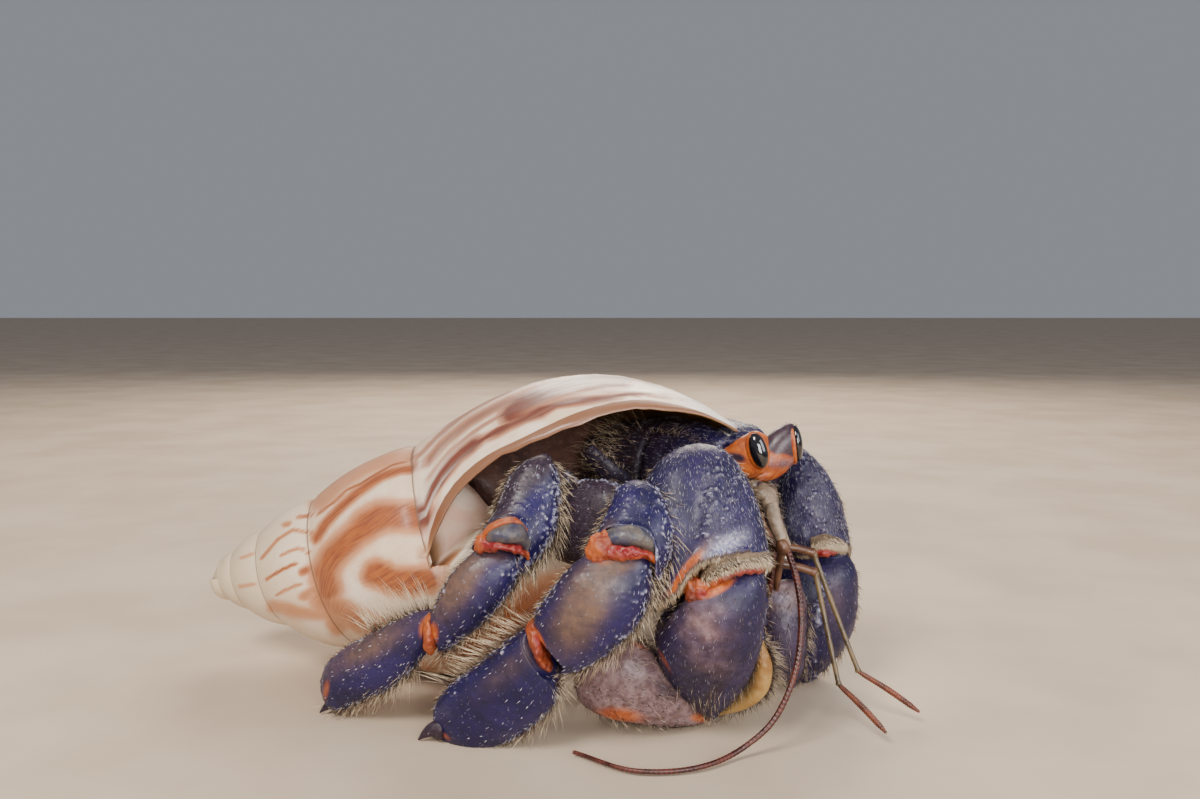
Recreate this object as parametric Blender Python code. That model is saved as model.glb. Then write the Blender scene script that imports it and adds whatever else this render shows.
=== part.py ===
"""A blueberry land hermit crab, Coenobita purpureus, in a giant land snail's shell.

Still, life-size model, written in millimetres and scaled to metres.
+X is towards the open end of the shell, +Y is away from the side that the crab's right legs are on,
and z = 0 is the floor under the shell, the claw tips and the leg tips.
"""
import math

import bmesh
import bpy
import numpy as np
from mathutils import Vector

MM = 0.001                      # millimetres to metres
GAP = 0.3                       # clear gap between neighbouring pieces
PLACE = (7.53, 6.72)             # moves the model's middle, in x and y, to the origin

# Shell: a conispiral round one axis, with its growth measured from the apex
SHELL_APEX = np.array([-46.3, 1.0, 8.7])
SHELL_YAW = math.radians(8.0)
SHELL_PITCH = math.radians(8.1)
WHORLS = 5.0                    # modelled turns
GROWTH = 1.84                   # each turn is this much longer than the one before
LAST_SUTURE = 27.8              # apex to the suture above the lip's plane of zero angle
LIP_ANGLE = math.radians(80.0)  # where the lip leaves the suture, from the top towards -Y
SPIRE_SIZE = 1.08               # radius of the spire 1 mm below the apex
SPIRE_POWER = 0.74
WHORL_BULGE = 0.09              # swelling of each turn between its sutures
BODY_LENGTH = 2.36              # length of the last turn over its suture's distance
BODY_AT = (0, 0.145, 0.266, 0.484, 0.69, 0.81, 0.884, 0.955, 0.985, 1.0)
BODY_RADIUS = (1, 1.20, 1.335, 1.43, 1.31, 1.12, 0.905, 0.55, 0.315, 0.0)
UNDERSIDE_FLAT = 0.06           # how much the turn is flattened underneath
WALL = 0.9
COLUMELLA = 1.6                 # radius of the pillar on the axis
THROAT_FROM = 45.0              # the pillar stops here, as in this kind of snail
THROAT_TO = 68.0
THROAT_RADIUS = 4.6
LIP_REACH = 10.0                # middling distance of the lip's edge from the axis
CAVITY_TURN = math.radians(200.0)
ABDOMEN_FROM = math.radians(-78.0)
ABDOMEN_TO = math.radians(-186.0)
MOUTH_POINT = np.array([14.6, -15.0, 30.0])    # right-hand end of the lip
MOUTH_LEAN = 0.25
MOUTH_RAKE = 0.21

# Crab: the way it faces, its left, and the middle of its face
CRAB_AHEAD = np.array([0.743, -0.669, 0.0])
CRAB_LEFT = np.array([0.669, 0.743, 0.0])
HEAD = np.array([15.5, -11.0, 25.0])
# Joints of each limb, from the body outwards
CLAW_RIGHT = ((8.2, -13.0, 17.0), (8.6, -19.6, 24.2), (11.0, -26.2, 16.0), (9.8, -22.5, 7.2))
CLAW_LEFT = ((16.2, -7.4, 17.0), (19.6, -5.6, 23.6), (23.2, -8.6, 14.6), (22.4, -9.5, 6.4))
LEG2_RIGHT = ((-1.2, -11.8, 15.5), (4.0, -23.4, 22.4), (2.5, -28.2, 18.5), (-5.1, -28.6, 10.2),
              (-17.0, -22.8, 0.0))
LEG3_RIGHT = ((-3.6, -9.8, 18.5), (-5.2, -18.6, 25.6), (-8.9, -24.0, 18.3), (-16.0, -22.4, 8.9),
              (-28.2, -16.2, 0.0))
LEG2_LEFT = ((15.4, -3.6, 15.6), (18.0, 2.8, 17.2), (17.8, 8.0, 15.0), (14.5, 12.4, 7.8), (7.0, 17.4, 0.0))
LEG3_LEFT = ((11.4, -2.4, 14.4), (12.2, 4.2, 14.6), (10.2, 9.0, 12.5), (4.6, 13.8, 6.2), (-4.6, 17.4, 0.0))
LEG_SEGMENTS = ("merus", "carpus", "propodus", "dactyl")
EYE_RIGHT = ((13.1, -13.6, 25.1), (15.6, -16.0, 26.5))
EYE_LEFT = ((16.9, -10.6, 25.2), (20.0, -11.7, 26.5))
ANTENNA_RIGHT = ((14.0, -13.8, 22.5), (16.3, -16.8, 22.3), (17.1, -18.5, 20.0), (18.0, -20.0, 17.7))
ANTENNA_LEFT = ((17.2, -10.6, 21.9), (17.7, -12.3, 21.6), (17.9, -13.4, 20.2), (18.0, -13.7, 18.6))
ANTENNULE_RIGHT = ((15.1, -13.7, 20.4), (15.9, -15.8, 18.0), (16.9, -17.2, 15.2), (21.5, -17.2, 14.3),
                   (23.3, -20.5, 4.0), (26.6, -25.6, 1.3))
ANTENNULE_LEFT = ((16.1, -12.4, 20.2), (16.6, -14.1, 18.6), (17.7, -15.9, 16.5), (21.6, -15.6, 15.9),
                  (25.7, -18.5, 4.6), (31.2, -20.6, 1.3))
MAXILLIPED_RIGHT = ((15.1, -13.75, 17.9), (15.6, -14.3, 15.4), (15.7, -14.2, 12.6))
MAXILLIPED_LEFT = ((16.6, -12.1, 17.9), (16.9, -12.7, 15.4), (16.6, -12.6, 12.6))
LEG4_RIGHT = ((3.4, -10.9, 21.4), (1.0, -12.6, 23.6), (-1.2, -12.4, 26.0))
LEG4_LEFT = ((12.4, -0.6, 18.6), (13.2, 1.4, 20.0), (12.2, 2.8, 21.6))


def unit(v):
    v = np.asarray(v, float)
    return v / np.linalg.norm(v)


def smoothstep(x):
    x = np.clip(x, 0.0, 1.0)
    return x * x * (3.0 - 2.0 * x)


def hermite_table(xs, ys, x):
    """Smooth curve through a few (x, y) pairs."""
    xs, ys = np.asarray(xs, float), np.asarray(ys, float)
    slopes = np.gradient(ys, xs)
    i = np.clip(np.searchsorted(xs, x, side="right") - 1, 0, len(xs) - 2)
    h = xs[i + 1] - xs[i]
    t = np.clip((x - xs[i]) / h, 0.0, 1.0)
    return ((2 * t**3 - 3 * t**2 + 1) * ys[i] + (t**3 - 2 * t**2 + t) * h * slopes[i]
            + (3 * t**2 - 2 * t**3) * ys[i + 1] + (t**3 - t**2) * h * slopes[i + 1])


# Scene set-up

def clear_scene():
    for obj in list(bpy.data.objects):
        bpy.data.objects.remove(obj, do_unlink=True)


def new_collection(name):
    collection = bpy.data.collections.new(name)
    bpy.context.scene.collection.children.link(collection)
    return collection


clear_scene()
PARTS = new_collection("hermit_crab")
CUTTERS = new_collection("cutters")
CUTTERS.hide_render = True
ORIGIN = bpy.data.objects.new("crab_origin", None)
ORIGIN.location = (PLACE[0] * MM, PLACE[1] * MM, 0)
PARTS.objects.link(ORIGIN)


def material(name, color, roughness):
    mat = bpy.data.materials.new(name)
    mat.use_nodes = True
    shader = mat.node_tree.nodes["Principled BSDF"]
    shader.inputs["Base Color"].default_value = (*color, 1)
    shader.inputs["Roughness"].default_value = roughness
    shader.inputs["Metallic"].default_value = 0.0
    mat.diffuse_color = (*color, 1)
    return mat


SHELL_MATERIAL = material("shell_lime", (0.80, 0.68, 0.56), 0.35)
BLUE_MATERIAL = material("blue_cuticle", (0.10, 0.10, 0.30), 0.35)
PURPLE_MATERIAL = material("purple_cuticle", (0.13, 0.09, 0.16), 0.45)
ORANGE_MATERIAL = material("orange_cuticle", (0.80, 0.33, 0.12), 0.4)
CORNEA_MATERIAL = material("cornea", (0.01, 0.01, 0.01), 0.08)
BROWN_MATERIAL = material("brown_feeler", (0.25, 0.08, 0.05), 0.4)
SOFT_MATERIAL = material("soft_skin", (0.45, 0.25, 0.18), 0.5)


def mesh_object(name, points, faces, mat, collection=PARTS):
    """A closed object from points in mm, with its faces turned outwards."""
    mesh = bpy.data.meshes.new(name)
    mesh.from_pydata([tuple(np.asarray(p) * MM) for p in points], [], faces)
    bm = bmesh.new()
    bm.from_mesh(mesh)
    bmesh.ops.remove_doubles(bm, verts=bm.verts, dist=0.00001)
    bmesh.ops.triangulate(bm, faces=bm.faces)
    bmesh.ops.recalc_face_normals(bm, faces=bm.faces)
    bm.to_mesh(mesh)
    bm.free()
    mesh.materials.append(mat)
    mesh.shade_smooth()
    mesh.set_sharp_from_angle(angle=math.radians(50))
    obj = bpy.data.objects.new(name, mesh)
    collection.objects.link(obj)
    obj.parent = ORIGIN
    if collection is CUTTERS:
        obj.hide_render = True
        obj.display_type = "WIRE"
    return obj


def loft_faces(rings, size):
    faces = []
    for i in range(rings - 1):
        for j in range(size):
            k = (j + 1) % size
            faces.append((i * size + j, i * size + k, (i + 1) * size + k, (i + 1) * size + j))
    faces.append(tuple(range(size)))
    faces.append(tuple((rings - 1) * size + j for j in range(size)))
    return faces


def loft(name, rings, mat, collection=PARTS):
    size = len(rings[0])
    return mesh_object(name, np.concatenate(rings), loft_faces(len(rings), size), mat, collection)


def apply_modifiers(obj):
    graph = bpy.context.evaluated_depsgraph_get()
    mesh = bpy.data.meshes.new_from_object(obj.evaluated_get(graph))
    obj.modifiers.clear()
    obj.data = mesh


def keep_largest(obj):
    """Keep only the largest closed surface of a mesh."""
    bm = bmesh.new()
    bm.from_mesh(obj.data)
    bmesh.ops.remove_doubles(bm, verts=bm.verts, dist=0.000002)
    bmesh.ops.dissolve_degenerate(bm, edges=bm.edges, dist=0.000002)
    bmesh.ops.triangulate(bm, faces=bm.faces)
    unseen = set(bm.faces)
    shells = []
    while unseen:
        stack = [unseen.pop()]
        group = []
        while stack:
            face = stack.pop()
            group.append(face)
            for edge in face.edges:
                for other in edge.link_faces:
                    if other in unseen:
                        unseen.remove(other)
                        stack.append(other)
        shells.append(group)
    shells.sort(key=lambda group: sum(face.calc_area() for face in group))
    scrap = [face for group in shells[:-1] for face in group]
    bmesh.ops.delete(bm, geom=scrap, context="FACES")
    loose = [vert for vert in bm.verts if not vert.link_faces]
    bmesh.ops.delete(bm, geom=loose, context="VERTS")
    bm.to_mesh(obj.data)
    bm.free()


def cut(obj, cutter, solver="EXACT"):
    modifier = obj.modifiers.new("cut", "BOOLEAN")
    modifier.operation = "DIFFERENCE"
    modifier.solver = solver
    modifier.object = cutter
    apply_modifiers(obj)
    keep_largest(obj)


def fuse(obj, pieces):
    """Join closed pieces to an object by one union, and remove them."""
    group = bpy.data.collections.new(obj.name + "_pieces")
    for piece in pieces:
        group.objects.link(piece)
    modifier = obj.modifiers.new("fuse", "BOOLEAN")
    modifier.operation = "UNION"
    modifier.solver = "EXACT"
    modifier.operand_type = "COLLECTION"
    modifier.collection = group
    apply_modifiers(obj)
    keep_largest(obj)
    for piece in pieces:
        bpy.data.objects.remove(piece, do_unlink=True)
    bpy.data.collections.remove(group)


def clear_of(obj, neighbours, room=GAP * 1.25):
    """Cut an object clear of its neighbours, by their shapes swollen along their normals."""
    for neighbour in neighbours:
        swollen = bpy.data.objects.new(neighbour.name + "_swollen", neighbour.data.copy())
        CUTTERS.objects.link(swollen)
        swollen.parent = ORIGIN
        swollen.hide_render = True
        swollen.display_type = "WIRE"
        swell = swollen.modifiers.new("swell", "DISPLACE")
        swell.strength = room * MM
        swell.mid_level = 0.0
        apply_modifiers(swollen)
        cut(obj, swollen, "MANIFOLD")


def rest_flat(obj):
    """Trim an object at the floor, which leaves a small flat there."""
    bm = bmesh.new()
    bm.from_mesh(obj.data)
    geom = list(bm.verts) + list(bm.edges) + list(bm.faces)
    result = bmesh.ops.bisect_plane(bm, geom=geom, plane_co=(0, 0, 0), plane_no=(0, 0, -1),
                                    clear_outer=True, dist=0.000002)
    rim = [item for item in result["geom_cut"] if isinstance(item, bmesh.types.BMEdge)]
    if rim:
        bmesh.ops.contextual_create(bm, geom=rim)
    bmesh.ops.recalc_face_normals(bm, faces=bm.faces)
    bm.to_mesh(obj.data)
    bm.free()


# Shell surface

AXIS = np.array([math.cos(SHELL_PITCH) * math.cos(SHELL_YAW),
                 -math.cos(SHELL_PITCH) * math.sin(SHELL_YAW), math.sin(SHELL_PITCH)])
SHELL_TOP = unit(np.array([0, 0, 1.0]) - AXIS[2] * AXIS)
SHELL_NEAR = -np.cross(AXIS, SHELL_TOP) if np.cross(AXIS, SHELL_TOP)[1] > 0 else np.cross(AXIS, SHELL_TOP)
TURN = 2.0 * math.pi


def spire_envelope(s):
    return SPIRE_SIZE * np.maximum(s, 1e-6) ** SPIRE_POWER


def suture(theta):
    return LAST_SUTURE * GROWTH ** (theta / TURN)


def body_ratio(v):
    return np.maximum(hermite_table(BODY_AT, BODY_RADIUS, np.clip(v, 0.0, 1.0)), 0.0)


def lip_angle(s):
    """The lip's angle falls away from the suture towards the base."""
    near_suture = math.radians(36.0) * np.exp(-np.maximum(s - 31.8, 0.0) / 4.2)
    towards_base = math.radians(12.0) * smoothstep((s - 44.0) / 18.0)
    return LIP_ANGLE - math.radians(36.0) + near_suture - towards_base


def shell_radius(theta, s):
    start = suture(theta)
    turns = np.log(np.maximum(s, 1e-6) / start) / math.log(GROWTH)
    fraction = turns - np.floor(turns)
    spire = spire_envelope(s) * (1 + WHORL_BULGE * np.sin(math.pi * fraction) ** 0.8)
    end = start * BODY_LENGTH
    body = spire_envelope(start) * body_ratio((s - start) / (end - start))
    bulge = 1 + WHORL_BULGE * np.sin(math.pi * np.clip(turns, 0, 1)) ** 0.8
    wall = spire_envelope(np.minimum(s, start * GROWTH)) * bulge
    next_ratio = body_ratio((GROWTH - 1) / (BODY_LENGTH - 1))
    below = body * spire_envelope(start * GROWTH) / (spire_envelope(start) * next_ratio)
    wall = np.where(s > start * GROWTH, below, wall)
    opened = smoothstep((theta - (LIP_ANGLE - TURN)) / TURN / 0.3)
    radius = np.where(turns < 0, spire, (1 - opened) * wall + opened * body)
    under = np.exp(-((np.mod(theta, TURN) - math.pi) / 0.85) ** 2) * np.clip((s - 15) / 20, 0, 1)
    return radius * (1 - UNDERSIDE_FLAT * under)


def inner_radius(theta, s):
    """The wall of the turn before, as the last turn's cavity meets it."""
    start = suture(theta) / GROWTH
    ratio = body_ratio((s - start) / (start * (BODY_LENGTH - 1)))
    return np.where(s < start * BODY_LENGTH, spire_envelope(start) * ratio, 0.0)


def shell_point(theta, s, radius):
    theta, s, radius = np.broadcast_arrays(theta, s, radius)
    return (SHELL_APEX + s[..., None] * AXIS + (radius * np.cos(theta))[..., None] * SHELL_TOP
            + (radius * np.sin(theta))[..., None] * SHELL_NEAR)


def zip_faces(first, second, places):
    """Triangles between two vertex lists with the same ends, in order of their places."""
    faces = []
    i = j = 0
    while i < len(first) - 1 or j < len(second) - 1:
        take_first = j == len(second) - 1 or (
            i < len(first) - 1 and places[first[i + 1]] < places[second[j + 1]])
        if take_first:
            face = (first[i], first[i + 1], second[j])
            i += 1
        else:
            face = (first[i], second[j + 1], second[j])
            j += 1
        if len(set(face)) == 3:
            faces.append(face)
    return faces


def shell_solid(name, around, rows, body_rows, grow, mat, collection):
    """The filled shell: a strip of whorls, the last turn, and the face across the aperture."""
    columns = int(WHORLS * around)
    points, places, index = [], [], {}

    def add(key, theta, s):
        if key not in index:
            index[key] = len(points)
            radius = float(shell_radius(theta, s)) + (grow if s < suture(theta) * BODY_LENGTH - 0.01 else 0)
            base = (s / suture(theta) - 1) / (BODY_LENGTH - 1)
            points.append(shell_point(theta, s + grow * float(smoothstep((base - 0.7) / 0.2)), radius))
            places.append(s)
        return index[key]

    def spire_vertex(column, row):
        if row == rows:
            return spire_vertex(column + around, 0)
        theta = LIP_ANGLE - TURN * WHORLS + TURN * column / around
        s = suture(theta) * GROWTH ** (row / rows)
        if column > columns - around and row == 0:
            return add(("body", column, 0), theta, s)
        if column == columns - around:
            return add(("body", column, row), theta, s)
        return add(("spire", column, row), theta, s)

    join = (GROWTH - 1) / (BODY_LENGTH - 1)
    steps = [(GROWTH ** (row / rows) - 1) / (BODY_LENGTH - 1) for row in range(rows)]
    steps += [join + (1 - join) * math.sin(math.pi / 2 * i / body_rows) for i in range(body_rows + 1)]

    def body_vertex(column, step):
        base = LIP_ANGLE - TURN * WHORLS + TURN * column / around
        if column == columns and step == 0:
            return body_vertex(columns - around, rows)
        s = suture(base) * (1 + steps[step] * (BODY_LENGTH - 1))
        theta = base
        for _ in range(3):
            theta = base + lip_angle(s) - LIP_ANGLE
            s = suture(theta) * (1 + steps[step] * (BODY_LENGTH - 1))
        if column == columns - around and step <= rows:
            theta = base
            s = suture(theta) * (1 + steps[step] * (BODY_LENGTH - 1))
        if column == columns:
            theta += grow / LIP_REACH
        return add(("body", column, step), theta, s)

    faces = []
    for column in range(columns - around):
        for row in range(rows):
            faces.append((spire_vertex(column, row), spire_vertex(column + 1, row),
                          spire_vertex(column + 1, row + 1), spire_vertex(column, row + 1)))
    last = len(steps) - 1
    for column in range(columns - around, columns):
        for step in range(last):
            faces.append((body_vertex(column, step), body_vertex(column + 1, step),
                          body_vertex(column + 1, step + 1), body_vertex(column, step + 1)))
    tip = len(points)
    points.append(SHELL_APEX - 0.1 * AXIS)
    places.append(0.0)
    ring = [spire_vertex(column, 0) for column in range(around + 1)]
    ring += [spire_vertex(0, row) for row in range(rows - 1, -1, -1)]
    for a, b in zip(ring, ring[1:]):
        faces.append((a, b, tip))
    outer = [body_vertex(columns, step) for step in range(last + 1)]
    inner = [body_vertex(columns - around, step) for step in range(rows, last + 1)]
    inner += [body_vertex(column, last) for column in range(columns - around + 1, columns + 1)]
    faces += zip_faces(outer, inner, places)
    return mesh_object(name, points, [f for f in faces if len(set(f)) >= 3], mat, collection)


def cavity_section(offset, wall, inner_gap, count_out, count_in, shrink=1.0):
    """Closed outline of the last turn's hollow at an angle measured from the lip."""
    v = np.linspace(0.0, 1.0, 400)
    lip_s = suture(LIP_ANGLE) * (1 + v * (BODY_LENGTH - 1))
    theta = lip_angle(lip_s) + min(offset, 0.0)
    for _ in range(4):
        s = suture(theta) * (1 + v * (BODY_LENGTH - 1))
        theta = lip_angle(s) + min(offset, 0.0)
    radius = shell_radius(theta, s)
    tangent = np.stack([np.gradient(s), np.gradient(radius)], 1)
    tangent /= np.linalg.norm(tangent, axis=1)[:, None] + 1e-12
    inset_s = s + tangent[:, 1] * wall
    inset_r = radius - tangent[:, 0] * wall
    floor = np.maximum(inner_radius(lip_angle(inset_s) + min(offset, 0.0), inset_s) + inner_gap,
                       COLUMELLA + inner_gap)
    inside = np.flatnonzero(inset_r > floor + 0.12)
    first, last = inside[0], inside[-1]
    path = np.stack([inset_s[first:last + 1], inset_r[first:last + 1]], 1)
    lengths = np.concatenate([[0], np.cumsum(np.linalg.norm(np.diff(path, axis=0), axis=1))])
    at = np.linspace(0, lengths[-1], count_out)
    outer = np.stack([np.interp(at, lengths, path[:, 0]), np.interp(at, lengths, path[:, 1])], 1)
    back_s = np.linspace(outer[-1, 0], outer[0, 0], count_in + 2)[1:-1]
    back_theta = lip_angle(back_s) + min(offset, 0.0)
    back_r = np.maximum(inner_radius(back_theta, back_s) + inner_gap, COLUMELLA + inner_gap)
    outline = np.concatenate([outer, np.stack([back_s, back_r], 1)])
    middle = outline.mean(axis=0)
    outline = middle + (outline - middle) * shrink
    angle = lip_angle(outline[:, 0]) + offset
    return shell_point(angle, outline[:, 0], outline[:, 1])


def cavity_loft(name, start, end, sections, wall, inner_gap, mat, collection, shrink=1.0):
    rings = []
    for i in range(sections):
        offset = start + (end - start) * i / (sections - 1)
        size = shrink * (0.8 if i == sections - 1 else 1.0)
        rings.append(cavity_section(offset, wall, inner_gap, 12, 7, size))
    return loft(name, rings, mat, collection)


def mouth_cutter(name, advance):
    """A block whose near face is the slanted plane where the shell's base is open."""
    normal = unit((1.0, MOUTH_LEAN, -MOUTH_RAKE))
    bpy.ops.mesh.primitive_cube_add(size=1)
    block = bpy.context.object
    block.name = name
    size = 60.0
    block.scale = (size * MM, size * MM, size * MM)
    block.rotation_euler = Vector(normal).to_track_quat("X", "Z").to_euler()
    block.location = Vector((MOUTH_POINT + normal * (size / 2 + advance)) * MM)
    bpy.context.view_layer.update()
    mesh = block.data
    mesh.transform(block.matrix_world)
    block.matrix_world.identity()
    for collection in list(block.users_collection):
        collection.objects.unlink(block)
    CUTTERS.objects.link(block)
    block.parent = ORIGIN
    block.hide_render = True
    block.display_type = "WIRE"
    return block


def axis_rod(name, start, end, radius):
    """A round cutter along the shell's axis."""
    rings = [ring_at(SHELL_APEX + AXIS * s, AXIS, SHELL_TOP, radius, radius, 20, 2.0) for s in (start, end)]
    return loft(name, rings, SHELL_MATERIAL, CUTTERS)


def shell_form(name, grow, mat, collection):
    """The hollow shell; a positive grow makes it thicker all over, to cut its neighbours clear."""
    shell = shell_solid(name, 30, 4, 9, grow, mat, collection)
    ahead = math.radians(8)
    hollow = cavity_loft(name + "_hollow", ahead, -CAVITY_TURN, 15, WALL + grow, GAP + grow, mat, CUTTERS)
    cut(shell, hollow, "MANIFOLD")
    throat = axis_rod(name + "_throat", THROAT_FROM + grow, THROAT_TO, THROAT_RADIUS - grow)
    cut(shell, throat, "MANIFOLD")
    cut(shell, mouth_cutter(name + "_mouth", grow), "MANIFOLD")
    return shell


# Loose parts of limbs and body

def hermite_path(start, start_dir, end, end_dir, t, pull=1.0):
    start, end = np.asarray(start, float), np.asarray(end, float)
    length = np.linalg.norm(end - start) * pull
    a, b = unit(start_dir) * length, unit(end_dir) * length
    t = np.asarray(t)[:, None]
    return ((2 * t**3 - 3 * t**2 + 1) * start + (t**3 - 2 * t**2 + t) * a
            + (3 * t**2 - 2 * t**3) * end + (t**3 - t**2) * b)


def ring_at(center, direction, broad, half_broad, half_thin, count, power=2.3):
    """One cross-section: a rounded oblong square to the direction."""
    direction = unit(direction)
    broad = unit(np.asarray(broad) - np.dot(broad, direction) * direction)
    thin = np.cross(direction, broad)
    angles = np.arange(count) * TURN / count
    c, s = np.cos(angles), np.sin(angles)
    x = half_broad * np.sign(c) * np.abs(c) ** (2 / power)
    y = half_thin * np.sign(s) * np.abs(s) ** (2 / power)
    return center + x[:, None] * broad + y[:, None] * thin


def limb_rings(start, end, start_dir, end_dir, broad, stations, count=12, trim=(GAP / 2, GAP / 2), pull=1.0):
    """Rings along a bent segment. A station is (place 0..1, half breadth, half thickness)."""
    start = np.asarray(start, float) + unit(start_dir) * trim[0]
    end = np.asarray(end, float) - unit(end_dir) * trim[1]
    places = np.array([station[0] for station in stations])
    path = hermite_path(start, start_dir, end, end_dir, places, pull)
    ahead = hermite_path(start, start_dir, end, end_dir, np.clip(places + 0.01, 0, 1), pull)
    behind = hermite_path(start, start_dir, end, end_dir, np.clip(places - 0.01, 0, 1), pull)
    rings = []
    for i, (place, half_broad, half_thin) in enumerate(stations):
        if place <= 0:
            direction = start_dir
        elif place >= 1:
            direction = end_dir
        else:
            direction = ahead[i] - behind[i]
        rings.append(ring_at(path[i], direction, broad, half_broad, half_thin, count))
    return rings


def joint_dirs(points, last_dir=None):
    """Facing of the cut at each joint: halfway between the segments that meet there."""
    steps = [unit(np.subtract(b, a)) for a, b in zip(points, points[1:])]
    dirs = [steps[0]]
    dirs += [unit(a + b) for a, b in zip(steps, steps[1:])]
    dirs.append(steps[-1] if last_dir is None else unit(last_dir))
    return dirs


def limb(prefix, segments, points, broads, profiles, mats, last_dir=None, count=12, spines=None):
    """A chain of segments, each its own object, that meet face to face."""
    dirs = joint_dirs(points, last_dir)
    made = []
    for i, segment in enumerate(segments):
        rings = limb_rings(points[i], points[i + 1], dirs[i], dirs[i + 1], broads[i], profiles[i], count,
                           trim=(GAP / 2, 0 if i == len(segments) - 1 else GAP / 2))
        piece = loft(prefix + segment, rings, mats[i])
        for row, (edge, first, last, number) in enumerate((spines or {}).get(segment, ())):
            grow_spines(piece, rings, edge, first, last, number, 10 * i + row, mats[i])
        made.append(piece)
    return made


LEG3_SIZES = (
    ((0, 1.8, 1.4), (0.5, 2.3, 1.7), (1, 1.9, 1.5)),
    ((0, 1.8, 1.4), (0.18, 2.9, 1.9), (0.5, 3.6, 2.3), (0.82, 3.6, 2.3), (1, 2.8, 1.9)),
    ((0, 2.5, 1.8), (0.2, 3.2, 2.1), (0.55, 3.3, 2.0), (0.85, 2.9, 1.8), (1, 2.3, 1.6)),
    ((0, 2.3, 1.5), (0.2, 2.8, 1.7), (0.5, 2.9, 1.7), (0.8, 2.4, 1.5), (0.92, 1.5, 1.0), (1, 0.45, 0.45)))
LEG2_SIZES = (
    ((0, 2.2, 1.8), (0.5, 3.8, 2.2), (1, 2.7, 1.9)),
    ((0, 2.6, 1.9), (0.3, 3.8, 2.5), (0.7, 4.2, 2.6), (1, 3.3, 2.2)),
    ((0, 3.1, 2.1), (0.2, 4.1, 2.5), (0.5, 4.5, 2.5), (0.82, 3.8, 2.2), (1, 2.7, 1.8)),
    ((0, 2.7, 1.8), (0.2, 3.7, 2.1), (0.5, 4.1, 2.1), (0.8, 3.3, 1.8), (0.92, 1.9, 1.2), (1, 0.45, 0.45)))


SPINE_ROOT = 0.36        # half width of a spine where it leaves the skin
SPINE_TIP = 0.06
SPINE_SINK = 0.9         # how deep its root goes
SPINE_LEAN = 0.75        # how much it leans towards the tip of the limb
SPINE_LENGTH = 1.5
SPINE_FLOOR = 1.2        # none grows lower than this
# Rows of spines of each segment: the edge of its broad side, first and last place along it, and how many
LEG_SPINES = {
    "leg2_right": {"carpus": ((1, 0.30, 0.80, 4),),
                   "propodus": ((1, 0.22, 0.84, 6), (-1, 0.26, 0.82, 5)),
                   "dactyl": ((1, 0.62, 0.80, 2), (-1, 0.16, 0.72, 6))},
    "leg3_right": {"carpus": ((1, 0.30, 0.80, 4),),
                   "propodus": ((1, 0.22, 0.62, 4), (-1, 0.26, 0.82, 5)),
                   "dactyl": ((1, 0.16, 0.80, 7), (-1, 0.16, 0.72, 5))},
    "leg2_left": {"carpus": ((-1, 0.30, 0.80, 4),),
                  "propodus": ((-1, 0.22, 0.84, 6),),
                  "dactyl": ((-1, 0.16, 0.80, 7),)},
    "leg3_left": {"carpus": ((1, 0.30, 0.80, 4),),
                  "propodus": ((1, 0.26, 0.82, 5),),
                  "dactyl": ((1, 0.16, 0.80, 6), (-1, 0.30, 0.72, 4))}}


def scaled(sizes, factor):
    """Ring sizes multiplied by a factor; where a row starts with its place along the limb, that stays."""
    return tuple(tuple((*item[:-2], item[-2] * factor, item[-1] * factor) for item in row) for row in sizes)


def spine(root, ahead, out, length, mat):
    """One flat tapered spine whose root is sunk into the limb."""
    across = unit(np.cross(out, ahead))
    rings = [ring_at(root - out * SPINE_SINK, out, across, SPINE_ROOT * 0.75, SPINE_ROOT, 4, 2.0),
             ring_at(root + out * 0.1, out, across, SPINE_ROOT * 0.75, SPINE_ROOT, 4, 2.0),
             ring_at(root + (out + ahead * SPINE_LEAN) * length, out + ahead, across, SPINE_TIP, SPINE_TIP, 4, 2.0)]
    return loft("spine", rings, mat, CUTTERS)


def grow_spines(obj, rings, edge, first, last, count, seed, mat):
    """A row of spines along one edge of a limb's rings."""
    random = np.random.default_rng(seed)
    size = len(rings[0])
    side = 0 if edge > 0 else size // 2
    line = np.array([ring[side] for ring in rings])
    middle = np.array([ring.mean(axis=0) for ring in rings])
    at = np.linspace(0, 1, len(rings))
    made = []
    for place in np.linspace(first, last, count):
        place = place + random.uniform(-0.015, 0.015)
        root, centre, before, after = (np.array([np.interp(place + step, at, row[:, k]) for k in range(3)])
                                       for row, step in ((line, 0), (middle, 0), (line, -0.05), (line, 0.05)))
        if root[2] > SPINE_FLOOR:
            length = SPINE_LENGTH * random.uniform(0.75, 1.15)
            made.append(spine(root, unit(after - before), unit(root - centre), length, mat))
    if made:
        fuse(obj, made)


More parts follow.
